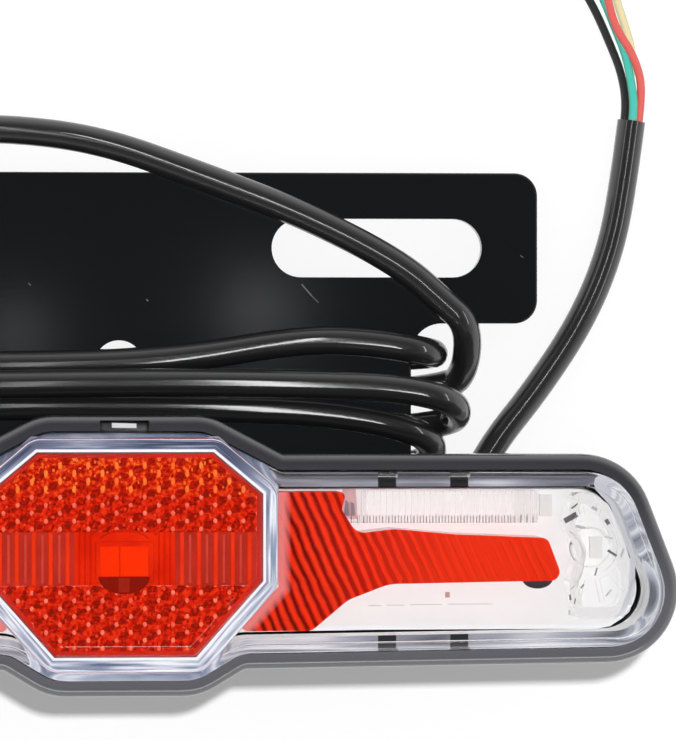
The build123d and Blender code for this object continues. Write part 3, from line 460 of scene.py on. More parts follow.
def red_moulding(name, slant):
    """Red guide over the white board: bright, with darker slanting bands painted along its ribs as shade, fading out
    towards the tip, and a rosy strip beside the octagon painted as the clear ridge's reflection.
    """
    made, shader = finish(name, (0.9, 0.02, 0.003), 0.12, Specular_IOR_Level=0.12)
    add_grain(made, shader, 500.0, 0.14, 0.06, 0.000005)
    tree = made.node_tree
    # Darker slanting bands along the ribs: painted shade in the grooves, fading out towards the tip.
    bands = tree.nodes.new("ShaderNodeGroup")
    bands.node_tree = bands_group
    bands.inputs["Scale"].default_value = 250.0
    bands.inputs["Slant"].default_value = slant
    place = tree.nodes.new("ShaderNodeTexCoord")
    apart = tree.nodes.new("ShaderNodeSeparateXYZ")
    far = tree.nodes.new("ShaderNodeMath")
    far.operation = "ABSOLUTE"
    fade = tree.nodes.new("ShaderNodeMapRange")
    fade.inputs["From Min"].default_value = 0.022
    fade.inputs["From Max"].default_value = 0.042
    fade.inputs["To Min"].default_value = 0.0
    fade.inputs["To Max"].default_value = 0.7
    lift = tree.nodes.new("ShaderNodeMath")
    lift.operation = "MAXIMUM"
    tint = ramp_of(tree, [(0.0, (0.13, 0.003, 0.001)), (0.3, (0.48, 0.008, 0.001)), (0.65, (0.80, 0.024, 0.002)), (1.0, (0.88, 0.034, 0.004))])
    link = tree.links.new
    link(place.outputs["Object"], apart.inputs["Vector"])
    link(apart.outputs["X"], far.inputs[0])
    link(far.outputs[0], fade.inputs["Value"])
    link(bands.outputs["Value"], lift.inputs[0])
    link(fade.outputs["Result"], lift.inputs[1])
    link(lift.outputs[0], tint.inputs["Fac"])
    # A rosy strip beside the octagon: a painted reflection of the clear ridge's flank.
    edge = tree.nodes.new("ShaderNodeGroup")
    edge.node_tree = octagon_group
    pale = tree.nodes.new("ShaderNodeMapRange")
    pale.inputs["From Min"].default_value = 2.9
    pale.inputs["From Max"].default_value = 3.9
    pale.inputs["To Min"].default_value = 1.0
    pale.inputs["To Max"].default_value = 0.0
    ridge_flank_reflection = tree.nodes.new("ShaderNodeMix")
    ridge_flank_reflection.data_type = "RGBA"
    ridge_flank_reflection.inputs["B"].default_value = (0.80, 0.22, 0.21, 1.0)
    link(edge.outputs["Distance"], pale.inputs["Value"])
    link(pale.outputs["Result"], ridge_flank_reflection.inputs["Factor"])
    link(tint.outputs["Color"], ridge_flank_reflection.inputs["A"])
    link(ridge_flank_reflection.outputs["Result"], shader.inputs["Base Color"])
    return made


def red_front():
    """The reflector's smooth front: thin clear red over its prisms."""
    made, shader = finish("reflector_front", (0.8, 0.02, 0.003), 0.04, Alpha=0.14, IOR=1.49)
    return made


def prism_red():
    """Facets of the prisms, in painted reflections: each takes a lighter or darker tone from the way it faces, mottled
    by noise, and the top rows are more orange.
    """
    made, shader = finish("prism_red", (0.8, 0.02, 0.004), 0.3, Specular_IOR_Level=0.1)
    tree = made.node_tree
    place = tree.nodes.new("ShaderNodeTexCoord")
    # Each facet's tone follows the way it faces: a painted reflection.
    lean = tree.nodes.new("ShaderNodeVectorMath")
    lean.operation = "DOT_PRODUCT"
    lean.inputs[1].default_value = (0.5, -0.75, 0.0)
    noise = tree.nodes.new("ShaderNodeTexNoise")
    noise.inputs["Scale"].default_value = 1900.0
    noise.inputs["Detail"].default_value = 1.0
    mixed = tree.nodes.new("ShaderNodeMath")
    mixed.operation = "ADD"
    spread = tree.nodes.new("ShaderNodeMapRange")
    spread.inputs["From Min"].default_value = -0.05
    spread.inputs["From Max"].default_value = 1.15
    low = ramp_of(tree, [(0.0, (0.05, 0.002, 0.001)), (0.3, (0.26, 0.005, 0.002)), (0.62, (0.56, 0.010, 0.002)), (1.0, (0.84, 0.045, 0.010))])
    high = ramp_of(tree, [(0.0, (0.09, 0.002, 0.001)), (0.4, (0.38, 0.008, 0.002)), (0.75, (0.66, 0.028, 0.005)), (1.0, (1.0, 0.20, 0.022))])
    # The top rows are more orange: a painted reflection.
    apart = tree.nodes.new("ShaderNodeSeparateXYZ")
    upper = tree.nodes.new("ShaderNodeMapRange")
    upper.inputs["From Min"].default_value = (LIGHT_Y + 6.5) * MM
    upper.inputs["From Max"].default_value = (LIGHT_Y + 11.0) * MM
    mix = tree.nodes.new("ShaderNodeMix")
    mix.data_type = "RGBA"
    link = tree.links.new
    link(place.outputs["Normal"], lean.inputs[0])
    link(place.outputs["Object"], noise.inputs["Vector"])
    link(place.outputs["Object"], apart.inputs["Vector"])
    link(apart.outputs["Y"], upper.inputs["Value"])
    strong = tree.nodes.new("ShaderNodeMath")
    strong.operation = "MULTIPLY_ADD"
    strong.inputs[1].default_value = 2.8
    strong.inputs[2].default_value = -0.85
    link(noise.outputs["Fac"], strong.inputs[0])
    link(lean.outputs["Value"], mixed.inputs[0])
    link(strong.outputs[0], mixed.inputs[1])
    link(mixed.outputs[0], spread.inputs["Value"])
    link(spread.outputs["Result"], low.inputs["Fac"])
    link(spread.outputs["Result"], high.inputs["Fac"])
    link(upper.outputs["Result"], mix.inputs["Factor"])
    link(low.outputs["Color"], mix.inputs["A"])
    link(high.outputs["Color"], mix.inputs["B"])
    link(mix.outputs["Result"], shader.inputs["Base Color"])
    return made


def inner_red(name, deep, bright, scale):
    """A red part inside the lens, its colour drifting between two tones."""
    made, shader = finish(name, bright, 0.4, Specular_IOR_Level=0.1)
    tree = made.node_tree
    place = tree.nodes.new("ShaderNodeTexCoord")
    noise = tree.nodes.new("ShaderNodeTexNoise")
    noise.inputs["Scale"].default_value = scale
    noise.inputs["Detail"].default_value = 2.0
    tint = ramp_of(tree, [(0.3, deep), (0.7, bright)])
    tree.links.new(place.outputs["Object"], noise.inputs["Vector"])
    tree.links.new(noise.outputs["Fac"], tint.inputs["Fac"])
    tree.links.new(tint.outputs["Color"], shader.inputs["Base Color"])
    return made


def white_solder_mask():
    made, shader = finish("white_board", (0.95, 0.95, 0.95), 0.4)
    add_grain(made, shader, 1200.0, 0.36, 0.1, 0.000004)
    return made


def plain_plastic(name, colour, roughness, grain=1500.0):
    made, shader = finish(name, colour, roughness)
    add_grain(made, shader, grain, roughness, 0.1, 0.000006)
    return made


def cable_skin():
    made, shader = finish("cable_jacket", (0.010, 0.010, 0.011), 0.42, Coat_Weight=0.9, Coat_Roughness=0.07, Coat_IOR=1.6)
    add_grain(made, shader, 1400.0, 0.4, 0.1, 0.000002)
    return made


finishes = {
    "bracket_paint": bracket_paint(),
    "zinc_steel": zinc_steel(),
    "housing_plastic": housing_plastic(),
    "seal_rubber": seal_rubber(),
    "clear_lens": clear_moulding("clear_lens", (1.0, 1.0, 1.0), 0.015),
    "red_lens": red_moulding("red_lens", -0.42),
    "white_board": white_solder_mask(),
    "led_red": plain_plastic("led_red", (0.9, 0.25, 0.12), 0.3),
    "led_amber": plain_plastic("led_amber", (0.78, 0.78, 0.77), 0.3),
    "chip_black": plain_plastic("chip_black", (0.03, 0.03, 0.032), 0.5),
    "can_aluminium": zinc_steel(),
    "cable_jacket": cable_skin(),
    "wire_black_skin": plain_plastic("wire_black_skin", (0.02, 0.02, 0.02), 0.3),
    "wire_green_skin": plain_plastic("wire_green_skin", (0.08, 0.62, 0.50), 0.3),
    "wire_yellow_skin": plain_plastic("wire_yellow_skin", (0.88, 0.80, 0.48), 0.3),
    "wire_red_skin": plain_plastic("wire_red_skin", (0.86, 0.14, 0.12), 0.3),
    "tinned_copper": zinc_steel(),
}
for part in frame["record"]["subparts"]:
    cad[part["node"]].data.materials.clear()
    cad[part["node"]].data.materials.append(finishes[part["material_slot"]])


cad["centre_reflector"].data.materials[0] = red_front()
optic_clear = clear_moulding("optic_clear", (1.0, 1.0, 1.0), 0.02, 1.18)
bar_clear = fluted_clear()
for side in ("left", "right"):
    cad["turn_optic_" + side].data.materials[0] = optic_clear
    cad["light_bar_" + side].data.materials[0] = bar_clear
cad["light_guide_left"].data.materials[0] = red_moulding("red_lens_left", 0.42)


# Pieces made in mesh code


def put_in(name, shape, finish_list, finish_slot, *replaced):
    """Makes a piece of a finished bmesh and lets it ride with the light."""
    bmesh.ops.remove_doubles(shape, verts=shape.verts, dist=1e-7)
    bmesh.ops.recalc_face_normals(shape, faces=shape.faces)
    data = bpy.data.meshes.new(name)
    shape.to_mesh(data)
    shape.free()
    for made in finish_list:
        data.materials.append(made)
    piece = bpy.data.objects.new(name, data)
    bpy.context.scene.collection.objects.link(piece)
    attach(piece, "root")
    if replaced:
        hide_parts(*replaced)
    return piece


def trim_to_octagon(shape, margin):
    """Cuts a sheet to the reflector's octagon, drawn in by a margin in millimetres."""
    for (u, v), (out_u, out_v) in OCTAGON_SIDES:
        out = Vector((out_u, out_v, 0.0)).normalized()
        edge = Vector((u, v + LIGHT_Y, 0.0)) - out * margin
        bmesh.ops.bisect_plane(
            shape,
            geom=shape.verts[:] + shape.edges[:] + shape.faces[:],
            plane_co=edge * MM,
            plane_no=out,
            clear_outer=True,
        )


def flat_patch(shape, corners, level, tone):
    """A flat face on the light, from corners (u, v) in millimetres about its centre."""
    face = shape.faces.new([shape.verts.new((u * MM, (v + LIGHT_Y) * MM, level * MM)) for u, v in corners])
    face.material_index = tone
    face.normal_update()
    if face.normal.z < 0:
        face.normal_flip()
    return face


def block(shape, low_corner, high_corner, tone, edge=0.1):
    """A small bevelled block between two corners (u, v, z) in millimetres about the light's centre."""
    made = bmesh.ops.create_cube(shape, size=1.0)["verts"]
    size = [(high - low) * MM for low, high in zip(low_corner, high_corner)]
    middle = [(high + low) / 2 * MM for low, high in zip(low_corner, high_corner)]
    bmesh.ops.scale(shape, verts=made, vec=size)
    bmesh.ops.translate(shape, verts=made, vec=(middle[0], middle[1] + LIGHT_Y * MM, middle[2]))
    edges = list({line for corner in made for line in corner.link_edges})
    faces = {face for corner in made for face in corner.link_faces}
    for face in faces:
        face.material_index = tone
    bmesh.ops.bevel(shape, geom=edges, offset=edge * MM, segments=2, profile=0.5, affect="EDGES", material=-1)


def leave_band(shape):
    """Cuts the ribbed band's strip out of a sheet, along straight edges."""
    for level in (BAND_TOP, BAND_BOTTOM):
        bmesh.ops.bisect_plane(
            shape,
            geom=shape.verts[:] + shape.edges[:] + shape.faces[:],
            plane_co=(0.0, (level + LIGHT_Y) * MM, 0.0),
            plane_no=(0.0, 1.0, 0.0),
        )
    inside = [
        face for face in shape.faces
        if BAND_BOTTOM * MM < face.calc_center_median().y - LIGHT_Y * MM < BAND_TOP * MM
    ]
    bmesh.ops.delete(shape, geom=inside, context="FACES")


def spark(shape, u, v, level, across, tall, tone):
    """A small bright dome, across by tall in millimetres, that stands for a glint in the prisms."""
    made = bmesh.ops.create_cone(shape, segments=8, radius1=0.5 * MM, radius2=0.22 * MM, depth=0.1 * MM, cap_ends=True)["verts"]
    for face in {face for spot in made for face in spot.link_faces}:
        face.material_index = tone
    bmesh.ops.scale(shape, verts=made, vec=(across, tall, 1.0))
    bmesh.ops.translate(shape, verts=made, vec=(u * MM, (v + LIGHT_Y) * MM, level * MM))


def prism_sheet():
    """Cube-corner cells above and below the ribbed band, with painted glints and dark specks over them, under the
    reflector's front.
    """
    across = 2.0
    around = across / math.sqrt(3) * 1.025
    depth = 0.7
    base = 21.1
    chance = random.Random(7)
    shape = bmesh.new()
    glints = bmesh.new()
    for column in range(-11, 12):
        for row in range(-8, 9):
            u = column * 1.5 * around - 0.45
            v = (row + 0.5 * (column % 2)) * across + 0.25
            low = shape.verts.new((u * MM, (v + LIGHT_Y) * MM, base * MM))
            rim = [
                shape.verts.new((
                    (u + around * math.cos(math.radians(60 * corner))) * MM,
                    (v + LIGHT_Y + around * math.sin(math.radians(60 * corner))) * MM,
                    (base + depth * (1.0 if corner % 2 else 0.5)) * MM,
                ))
                for corner in range(6)
            ]
            for start in (1, 3, 5):
                shape.faces.new((low, rim[start], rim[(start + 1) % 6], rim[(start + 2) % 6]))
            # Over each cell a painted glint, orange and taller in the top rows, with a small glint and two dark specks
            # beside it as painted reflections.
            top = base + depth + 0.04
            corner_u, corner_v = u - 0.5 * around, v + 0.5 * across
            high = v > 7.0
            spark(glints, corner_u, corner_v, top, 0.55, 1.0 if high else 0.66, 1 if high else 0)
            for tone in (2, 3, 3):
                spark(
                    glints,
                    corner_u + chance.uniform(-0.9, 0.9),
                    corner_v + chance.uniform(-0.8, 0.8),
                    top - 0.03,
                    chance.uniform(0.2, 0.4),
                    chance.uniform(0.25, 0.6),
                    tone - (1 if high and tone == 2 else 0),
                )
    bmesh.ops.remove_doubles(shape, verts=shape.verts, dist=1e-6)
    trim_to_octagon(shape, -0.1)
    trim_to_octagon(glints, 0.5)
    leave_band(shape)
    leave_band(glints)
    tones = [
        inner_red("glint_rose", (0.92, 0.13, 0.07), (1.0, 0.34, 0.21), 700.0),
        inner_red("glint_orange", (1.0, 0.17, 0.03), (1.0, 0.38, 0.07), 300.0),
        inner_red("glint_red", (0.80, 0.05, 0.02), (0.95, 0.10, 0.04), 300.0),
        inner_red("glint_deep", (0.12, 0.006, 0.004), (0.25, 0.01, 0.006), 300.0),
    ]
    put_in("reflector_prisms", shape, [prism_red()], "red_lens")
    put_in("reflector_glints", glints, tones, "red_lens")


def ribbed_band():
    """The band across the middle of the reflector: a bright centre, and upright ribs at each side over grooves darkened
    with painted shade.
    """
    level = 21.2
    shape = bmesh.new()
    top, bottom = BAND_TOP, BAND_BOTTOM
    # The dark red flat under the side ribs: painted shade in the grooves.
    flat_patch(shape, [(-18.0, bottom), (-6.3, bottom), (-6.3, top), (-18.0, top)], level, 0)
    flat_patch(shape, [(6.3, bottom), (18.0, bottom), (18.0, top), (6.3, top)], level, 0)
    flat_patch(shape, [(-6.3, bottom), (6.3, bottom), (6.3, top), (-6.3, top)], level, 3)
    for side in (-1, 1):
        for rib in range(5):
            middle = side * (7.2 + rib * 2.13)
            block(shape, (middle - 0.3, bottom, level - 0.1), (middle + 0.3, top, level + 0.5), 1, 0.2)
            near, far = sorted((middle + side * 0.85, middle + side * 1.2))
            block(shape, (near, bottom + 0.3, level - 0.1), (far, top - 0.3, level + 0.25), 2, 0.1)
        for line in (4.3, 5.0, 5.7):
            block(shape, (side * line - 0.12, bottom, level - 0.1), (side * line + 0.12, top, level + 0.2), 4, 0.06)
    trim_to_octagon(shape, 0.0)
    tones = [
        inner_red("groove_red", (0.20, 0.022, 0.018), (0.40, 0.035, 0.022), 160.0),
        inner_red("rib_red", (0.70, 0.035, 0.010), (0.88, 0.055, 0.012), 240.0),
        inner_red("edge_red", (0.42, 0.06, 0.045), (0.58, 0.09, 0.06), 240.0),
        inner_red("centre_red", (0.62, 0.012, 0.002), (0.82, 0.030, 0.003), 260.0),
        inner_red("line_red", (0.42, 0.008, 0.002), (0.60, 0.015, 0.003), 260.0),
    ]
    put_in("reflector_band", shape, tones, "red_lens")


def arc_points(centre_u, centre_v, across, tall, start, end, steps=16):
    """Points (u, v) along an ellipse's arc, from one angle to another in degrees."""
    return [
        (
            centre_u + across * math.cos(math.radians(start + (end - start) * step / steps)),
            centre_v + tall * math.sin(math.radians(start + (end - start) * step / steps)),
        )
        for step in range(steps + 1)
    ]


def centre_light_block():
    """The light block over the middle LEDs: two square windows under an arch, and a dark half-round holder below."""
    shape = bmesh.new()
    block(shape, (-3.7, -3.6, 13.2), (3.7, 1.7, 21.75), 0, 0.3)
    for low_u, high_u in ((-3.15, -0.72), (-0.62, 2.95)):
        block(shape, (low_u, -2.7, 21.6), (high_u, 1.1, 22.1), 1, 0.1)
    flat_patch(shape, arc_points(-0.1, -2.75, 3.25, 2.2, 180, 360), 21.95, 2)
    flat_patch(shape, [(-0.8, -4.7), (0.6, -4.7), (0.6, -2.9), (-0.8, -2.9)], 22.0, 3)
    for inner in (3.2, 4.4):
        ring = arc_points(-0.1, 1.3, inner + 0.28, 1.9 + (inner - 3.2) * 0.8, 25, 155)
        ring += reversed(arc_points(-0.1, 1.3, inner, 1.65 + (inner - 3.2) * 0.8, 25, 155))
        flat_patch(shape, ring, 21.9, 4)
    tones = [
        inner_red("block_red", (0.55, 0.012, 0.003), (0.78, 0.030, 0.004), 200.0),
        inner_red("window_orange", (0.92, 0.030, 0.001), (0.98, 0.050, 0.002), 120.0),
        inner_red("holder_dark", (0.008, 0.002, 0.002), (0.035, 0.006, 0.005), 260.0),
        inner_red("holder_red", (0.08, 0.012, 0.008), (0.22, 0.02, 0.012), 260.0),
        inner_red("arch_red", (0.34, 0.010, 0.004), (0.52, 0.015, 0.004), 260.0),
    ]
    put_in("centre_light_block", shape, tones, "red_lens")


def octagon_corners(margin):
    """The corners (u, v) of the reflector's octagon, moved out by a margin in millimetres."""
    lines = []
    for (u, v), out in sorted(OCTAGON_SIDES, key=lambda side: math.atan2(side[1][1], side[1][0])):
        away = Vector(out).normalized()
        lines.append((away, away.dot(Vector((u, v))) + margin))
    corners = []
    for (one, near), (two, far) in zip(lines, lines[1:] + lines[:1]):
        cross = one.x * two.y - one.y * two.x
        corners.append(((near * two.y - far * one.y) / cross, (one.x * far - two.x * near) / cross))
    return corners


def ring_of(shape, outer, inner, level, tone):
    """A flat octagonal ring between two margins about the reflector's edge, in millimetres."""
    far = octagon_corners(outer)
    near = octagon_corners(inner)
    for index in range(len(far)):
        after = (index + 1) % len(far)
        flat_patch(shape, [far[index], far[after], near[after], near[index]], level, tone)


def ridge_tones():
    """Painted reflections and refraction seen through the clear ridge: a dark red border, a black line, and grey-blue
    and white streaks, darker towards the top.
    """
    shape = bmesh.new()
    level = 21.9
    # Rings under the clear ridge, standing for its painted reflections and refraction.
    ring_of(shape, 0.1, -0.5, level + 0.05, 0)
    ring_of(shape, 0.25, 0.1, level, 1)
    ring_of(shape, 0.6, 0.25, level, 2)
    ring_of(shape, 2.2, 0.6, level, 3)
    made, shader = finish("ridge_streaks", (0.4, 0.44, 0.54), 0.4)
    tree = made.node_tree
    place = tree.nodes.new("ShaderNodeTexCoord")
    noise = tree.nodes.new("ShaderNodeTexNoise")
    noise.inputs["Scale"].default_value = 1.0
    noise.inputs["Detail"].default_value = 2.0
    edge = tree.nodes.new("ShaderNodeGroup")
    edge.node_tree = octagon_group
    apart = tree.nodes.new("ShaderNodeSeparateXYZ")
    streak = tree.nodes.new("ShaderNodeCombineXYZ")
    for index, (source, scale) in enumerate(((edge.outputs["Distance"], 2.2), (apart.outputs["X"], 110.0), (apart.outputs["Y"], 110.0))):
        spread = tree.nodes.new("ShaderNodeMath")
        spread.operation = "MULTIPLY"
        spread.inputs[1].default_value = scale
        tree.links.new(source, spread.inputs[0])
        tree.links.new(spread.outputs[0], streak.inputs[index])
    tint = ramp_of(tree, [(0.32, (0.06, 0.09, 0.17)), (0.5, (0.30, 0.34, 0.46)), (0.66, (0.90, 0.92, 1.0))])
    tree.links.new(place.outputs["Object"], apart.inputs["Vector"])
    tree.links.new(streak.outputs["Vector"], noise.inputs["Vector"])
    # Darker towards the top: a painted darker reflection.
    upper = tree.nodes.new("ShaderNodeMapRange")
    upper.inputs["From Min"].default_value = (LIGHT_Y + 7.0) * MM
    upper.inputs["From Max"].default_value = (LIGHT_Y + 12.0) * MM
    darker = tree.nodes.new("ShaderNodeMix")
    darker.data_type = "RGBA"
    darker.blend_type = "MULTIPLY"
    darker.inputs["B"].default_value = (0.42, 0.44, 0.52, 1.0)
    tree.links.new(apart.outputs["Y"], upper.inputs["Value"])
    tree.links.new(upper.outputs["Result"], darker.inputs["Factor"])
    tree.links.new(noise.outputs["Fac"], tint.inputs["Fac"])
    tree.links.new(tint.outputs["Color"], darker.inputs["A"])
    tree.links.new(darker.outputs["Result"], shader.inputs["Base Color"])
    tones = [
        inner_red("border_red", (0.24, 0.012, 0.008), (0.55, 0.020, 0.010), 90.0),
        plain_plastic("ridge_black", (0.03, 0.02, 0.025), 0.4),
        plain_plastic("ridge_white", (0.93, 0.94, 0.98), 0.4),
        made,
    ]
    put_in("ridge_reflections", shape, tones, "red_lens")


def sliver(shape, start, end, width, level, tone):
    """A thin flat mark from one point (u, v) to another, in millimetres."""
    along = Vector((end[0] - start[0], end[1] - start[1]))
    side = Vector((-along.y, along.x)).normalized() * width / 2
    corners = [
        (start[0] + side.x, start[1] + side.y), (start[0] - side.x, start[1] - side.y),
        (end[0] - side.x, end[1] - side.y), (end[0] + side.x, end[1] + side.y),
    ]
    flat_patch(shape, corners, level, tone)


def optic_marks():
    """Painted refraction at the edges of the turn optics' facets: dark and grey slivers that show against the white
    board.
    """
    shape = bmesh.new()
    level = 20.5
    # Dark and grey slivers in the turn optics: painted refraction.
    dark_facets = (
        (((55.7, 4.1), (57.3, 5.0)), 0.7), (((57.1, 3.5), (58.4, 3.2)), 0.35), (((56.6, 5.7), (57.4, 6.3)), 0.2),
        (((59.2, 5.9), (59.9, 5.5)), 0.4), (((61.0, 4.3), (61.4, 3.7)), 0.5), (((60.8, 2.1), (61.9, 1.9)), 0.15),
        (((61.2, 0.4), (62.4, -0.3)), 0.3), (((63.3, 0.6), (62.9, -0.4)), 0.25), (((59.9, -1.8), (59.6, -2.8)), 0.2),
        (((61.7, -4.6), (61.0, -5.4)), 0.25), (((56.4, -5.2), (56.5, -5.9)), 0.25), (((64.4, -3.4), (64.1, -4.6)), 0.15),
        (((57.1, -5.7), (57.0, -6.4)), 0.15), (((56.3, -7.2), (56.4, -7.8)), 0.25), (((58.2, -3.9), (57.8, -4.4)), 0.2),
    )
    for side in (-1, 1):
        for index, ((start, end), width) in enumerate(dark_facets):
            sliver(shape, (side * start[0], start[1]), (side * end[0], end[1]), width, level, index % 2)
        arc = arc_points(side * 54.8, -0.9, side * 3.4, 4.2, -62, 62, 12)
        for start, end in zip(arc, arc[1:]):
            sliver(shape, start, end, 0.14, level, 1)
    tones = [plain_plastic("facet_dark", (0.10, 0.10, 0.115), 0.3), plain_plastic("facet_grey", (0.42, 0.42, 0.45), 0.3)]
    put_in("optic_refraction_marks", shape, tones, "clear_lens")


def seal_edge_highlight():
    """A painted highlight along the seal's lower edge beside the board, and grey bends painted round the tip as
    reflections.
    """
    shape = bmesh.new()
    # A pale strip along the seal's lower edge: a painted highlight.
    outer = [(21.0, -9.6), (60.0, -9.55), (61.6, -9.25), (63.2, -8.2), (64.3, -6.6)]
    inner = [(63.9, -6.5), (62.9, -7.9), (61.4, -8.8), (59.9, -9.1), (21.0, -9.1)]
    for side in (-1, 1):
        flat_patch(shape, [(side * u, v) for u, v in outer + inner], 20.0, 0)
        # Grey bends round the tip: painted reflections.
        bend = [(63.0, -8.0), (64.4, -4.4), (64.5, -0.3), (61.9, 6.3), (59.4, 9.0)]
        for start, end in zip(bend, bend[1:]):
            sliver(shape, (side * start[0], start[1]), (side * end[0], end[1]), 0.75, 20.0, 1)
    tones = [plain_plastic("seal_edge_white", (0.93, 0.93, 0.96), 0.4), plain_plastic("seal_edge_grey", (0.55, 0.55, 0.60), 0.4)]
    put_in("seal_edge_highlight", shape, tones, "seal_rubber")


def scuffs_and_latch_highlight():
    """A short scratch and a few specks in the bracket's paint, and a painted highlight on the lens's latch."""
    shape = bmesh.new()
    level = 2.02
    for start, end, width in (
        ((23.7, -4.7), (25.0, -6.2), 0.16), ((24.9, -6.1), (25.9, -7.1), 0.1),
        ((3.5, -6.7), (3.8, -6.9), 0.16), ((-11.7, -4.6), (-11.4, -4.9), 0.12), ((52.3, -0.9), (52.6, -1.2), 0.1),
    ):
        sliver(shape, (start[0], start[1] - LIGHT_Y), (end[0], end[1] - LIGHT_Y), width, level, 0)
    # A pale patch over the lens's latch: a painted highlight.
    flat_patch(shape, [(-1.6, 16.0), (1.5, 15.95), (1.5, 16.5), (-1.6, 16.6)], 20.68, 1)
    put_in("scuffs_and_latch_highlight", shape, [plain_plastic("bare_scuff", (0.16, 0.17, 0.18), 0.4), plain_plastic("latch_shine", (0.72, 0.73, 0.76), 0.3)], "bracket_paint")


def board_marks():
    """Printed lines, a printed ring and a pad at each side on the white board, with a dark oval painted as shade under
    each guide's tip, and a rose reflection and dark shade painted at each light bar's inner end.
    """
    level = 11.66
    shape = bmesh.new()
    for side in (-1, 1):
        for near, far, v in ((31.5, 33.2, -6.9), (33.9, 36.2, -6.85), (36.9, 41.0, -6.8), (41.7, 47.5, -6.75)):
            low_u, high_u = sorted((side * near, side * far))
            flat_patch(shape, [(low_u, v - 0.06), (high_u, v - 0.06), (high_u, v + 0.06), (low_u, v + 0.06)], level, 0)
        # A dark oval under the guide's tip: painted shade.
        flat_patch(shape, arc_points(side * 53.3, -3.5, 2.0, 1.3, 0, 350, 24), level, 2)
        # Rose and dark marks at the light bar's inner end: a painted red reflection and painted shade.
        flat_patch(shape, [(side * 27.7, 4.2), (side * 30.2, 4.2), (side * 29.9, 8.0), (side * 28.2, 8.0)], level, 3)
        flat_patch(shape, [(side * 28.3, 4.6), (side * 29.8, 4.6), (side * 29.7, 6.2), (side * 28.6, 6.6)], level + 0.02, 4)
        low_u, high_u = sorted((side * 41.4, side * 42.0))
        flat_patch(shape, [(low_u, -5.9), (high_u, -5.9), (high_u, -5.2), (low_u, -5.2)], level, 1)
        ring = bmesh.ops.create_circle(shape, segments=40, radius=2.0 * MM, cap_ends=True)["verts"]
        disc = list({face for spot in ring for face in spot.link_faces})
        bmesh.ops.translate(shape, verts=ring, vec=(side * 37.2 * MM, (-3.6 + LIGHT_Y) * MM, level * MM))
        bmesh.ops.inset_region(shape, faces=disc, thickness=0.12 * MM)
        bmesh.ops.delete(shape, geom=disc, context="FACES")
    tones = [
        plain_plastic("print_grey", (0.62, 0.60, 0.62), 0.5),
        plain_plastic("pad_brown", (0.45, 0.28, 0.26), 0.4),
        plain_plastic("led_shade", (0.035, 0.030, 0.035), 0.4),
        plain_plastic("bar_end_rose", (0.66, 0.40, 0.42), 0.4),
        plain_plastic("bar_end_dark", (0.22, 0.17, 0.19), 0.4),
    ]
    put_in("board_marks", shape, tones, "white_board")


prism_sheet()
ribbed_band()
centre_light_block()
ridge_tones()
optic_marks()
seal_edge_highlight()
board_marks()
scuffs_and_latch_highlight()


# Cable and wires


def free_cord(name, points, diameter, finish_slot, replaced):
    """A smooth cord along a route in millimetres, which stands for the cord's solids."""
    data = bpy.data.curves.new(name, "CURVE")
    data.dimensions = "3D"
    data.bevel_depth = diameter / 2 * MM
    data.bevel_resolution = 6
    data.resolution_u = 10
    data.use_fill_caps = True
    line = data.splines.new("NURBS")
    line.points.add(len(points) - 1)
    for spot, place in zip(line.points, points):
        spot.co = (place[0] * MM, place[1] * MM, place[2] * MM, 1.0)
    line.order_u = 3
    line.use_endpoint_u = True
    cord = bpy.data.objects.new(name, data)
    bpy.context.scene.collection.objects.link(cord)
    data.materials.append(finishes[finish_slot])
    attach(cord, "root")
    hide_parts(*replaced)
    return cord


LYING = -3.75
FRONT = 4.1
cable_route = [
    (-54.0, -20.05, 6.95), (-54.0, -12.0, 6.95), (-52.3, -3.0, 6.0), (-46.8, 5.8, 5.0),
    (-37.6, 11.8, 4.5), (-27.0, 14.9, 4.5), (-15.4, 15.4, 4.5), (-2.5, 13.9, 4.5),
    (10.4, 9.3, 4.5), (23.4, 4.5, 4.5), (36.3, -2.0, 4.5), (41.9, -6.98, 4.5),
    (45.1, -9.83, 4.5), (45.4, -15.3, 0.8), (43.4, -18.7, LYING), (2.0, -20.6, LYING), (-41.1, -18.4, LYING),
    (-41.1, -15.2, FRONT), (-9.0, -15.3, FRONT), (8.0, -14.5, FRONT), (23.4, -11.9, FRONT),
    (32.4, -12.1, FRONT), (41.1, -13.6, FRONT), (41.1, -13.9, LYING), (0.0, -16.4, LYING),
    (-30.0, -13.9, LYING), (-46.2, -13.8, LYING),
    (-46.2, -17.7, 7.6), (-20.0, -17.8, 7.6), (6.0, -17.4, 7.6), (25.0, -17.7, 7.6),
    (36.3, -18.1, 7.6), (43.9, -20.0, 7.6), (43.9, -23.6, LYING), (2.0, -24.8, LYING), (-41.1, -23.4, LYING),
    (-41.1, -20.6, FRONT), (-8.0, -20.5, FRONT), (12.0, -20.7, FRONT), (28.0, -21.3, FRONT),
    (40.9, -24.1, FRONT), (40.9, -28.8, LYING), (21.0, -28.8, LYING), (10.9, -28.8, LYING),
    (3.7, -35.6, LYING), (3.7, -45.4, LYING), (10.9, -52.6, LYING), (21.5, -53.4, LYING),
    (31.6, -50.2, LYING), (39.4, -43.6, LYING), (44.5, -34.8, LYING), (48.9, -26.0, LYING),
    (55.2, -18.2, LYING), (61.0, -9.4, LYING), (64.6, -0.9, LYING), (66.4, 7.6, LYING),
    (67.6, 16.9, LYING),
]
cable = free_cord("cable", cable_route, 3.7, "cable_jacket", ["cable_lead", "cable_turns", "cable_tail"])

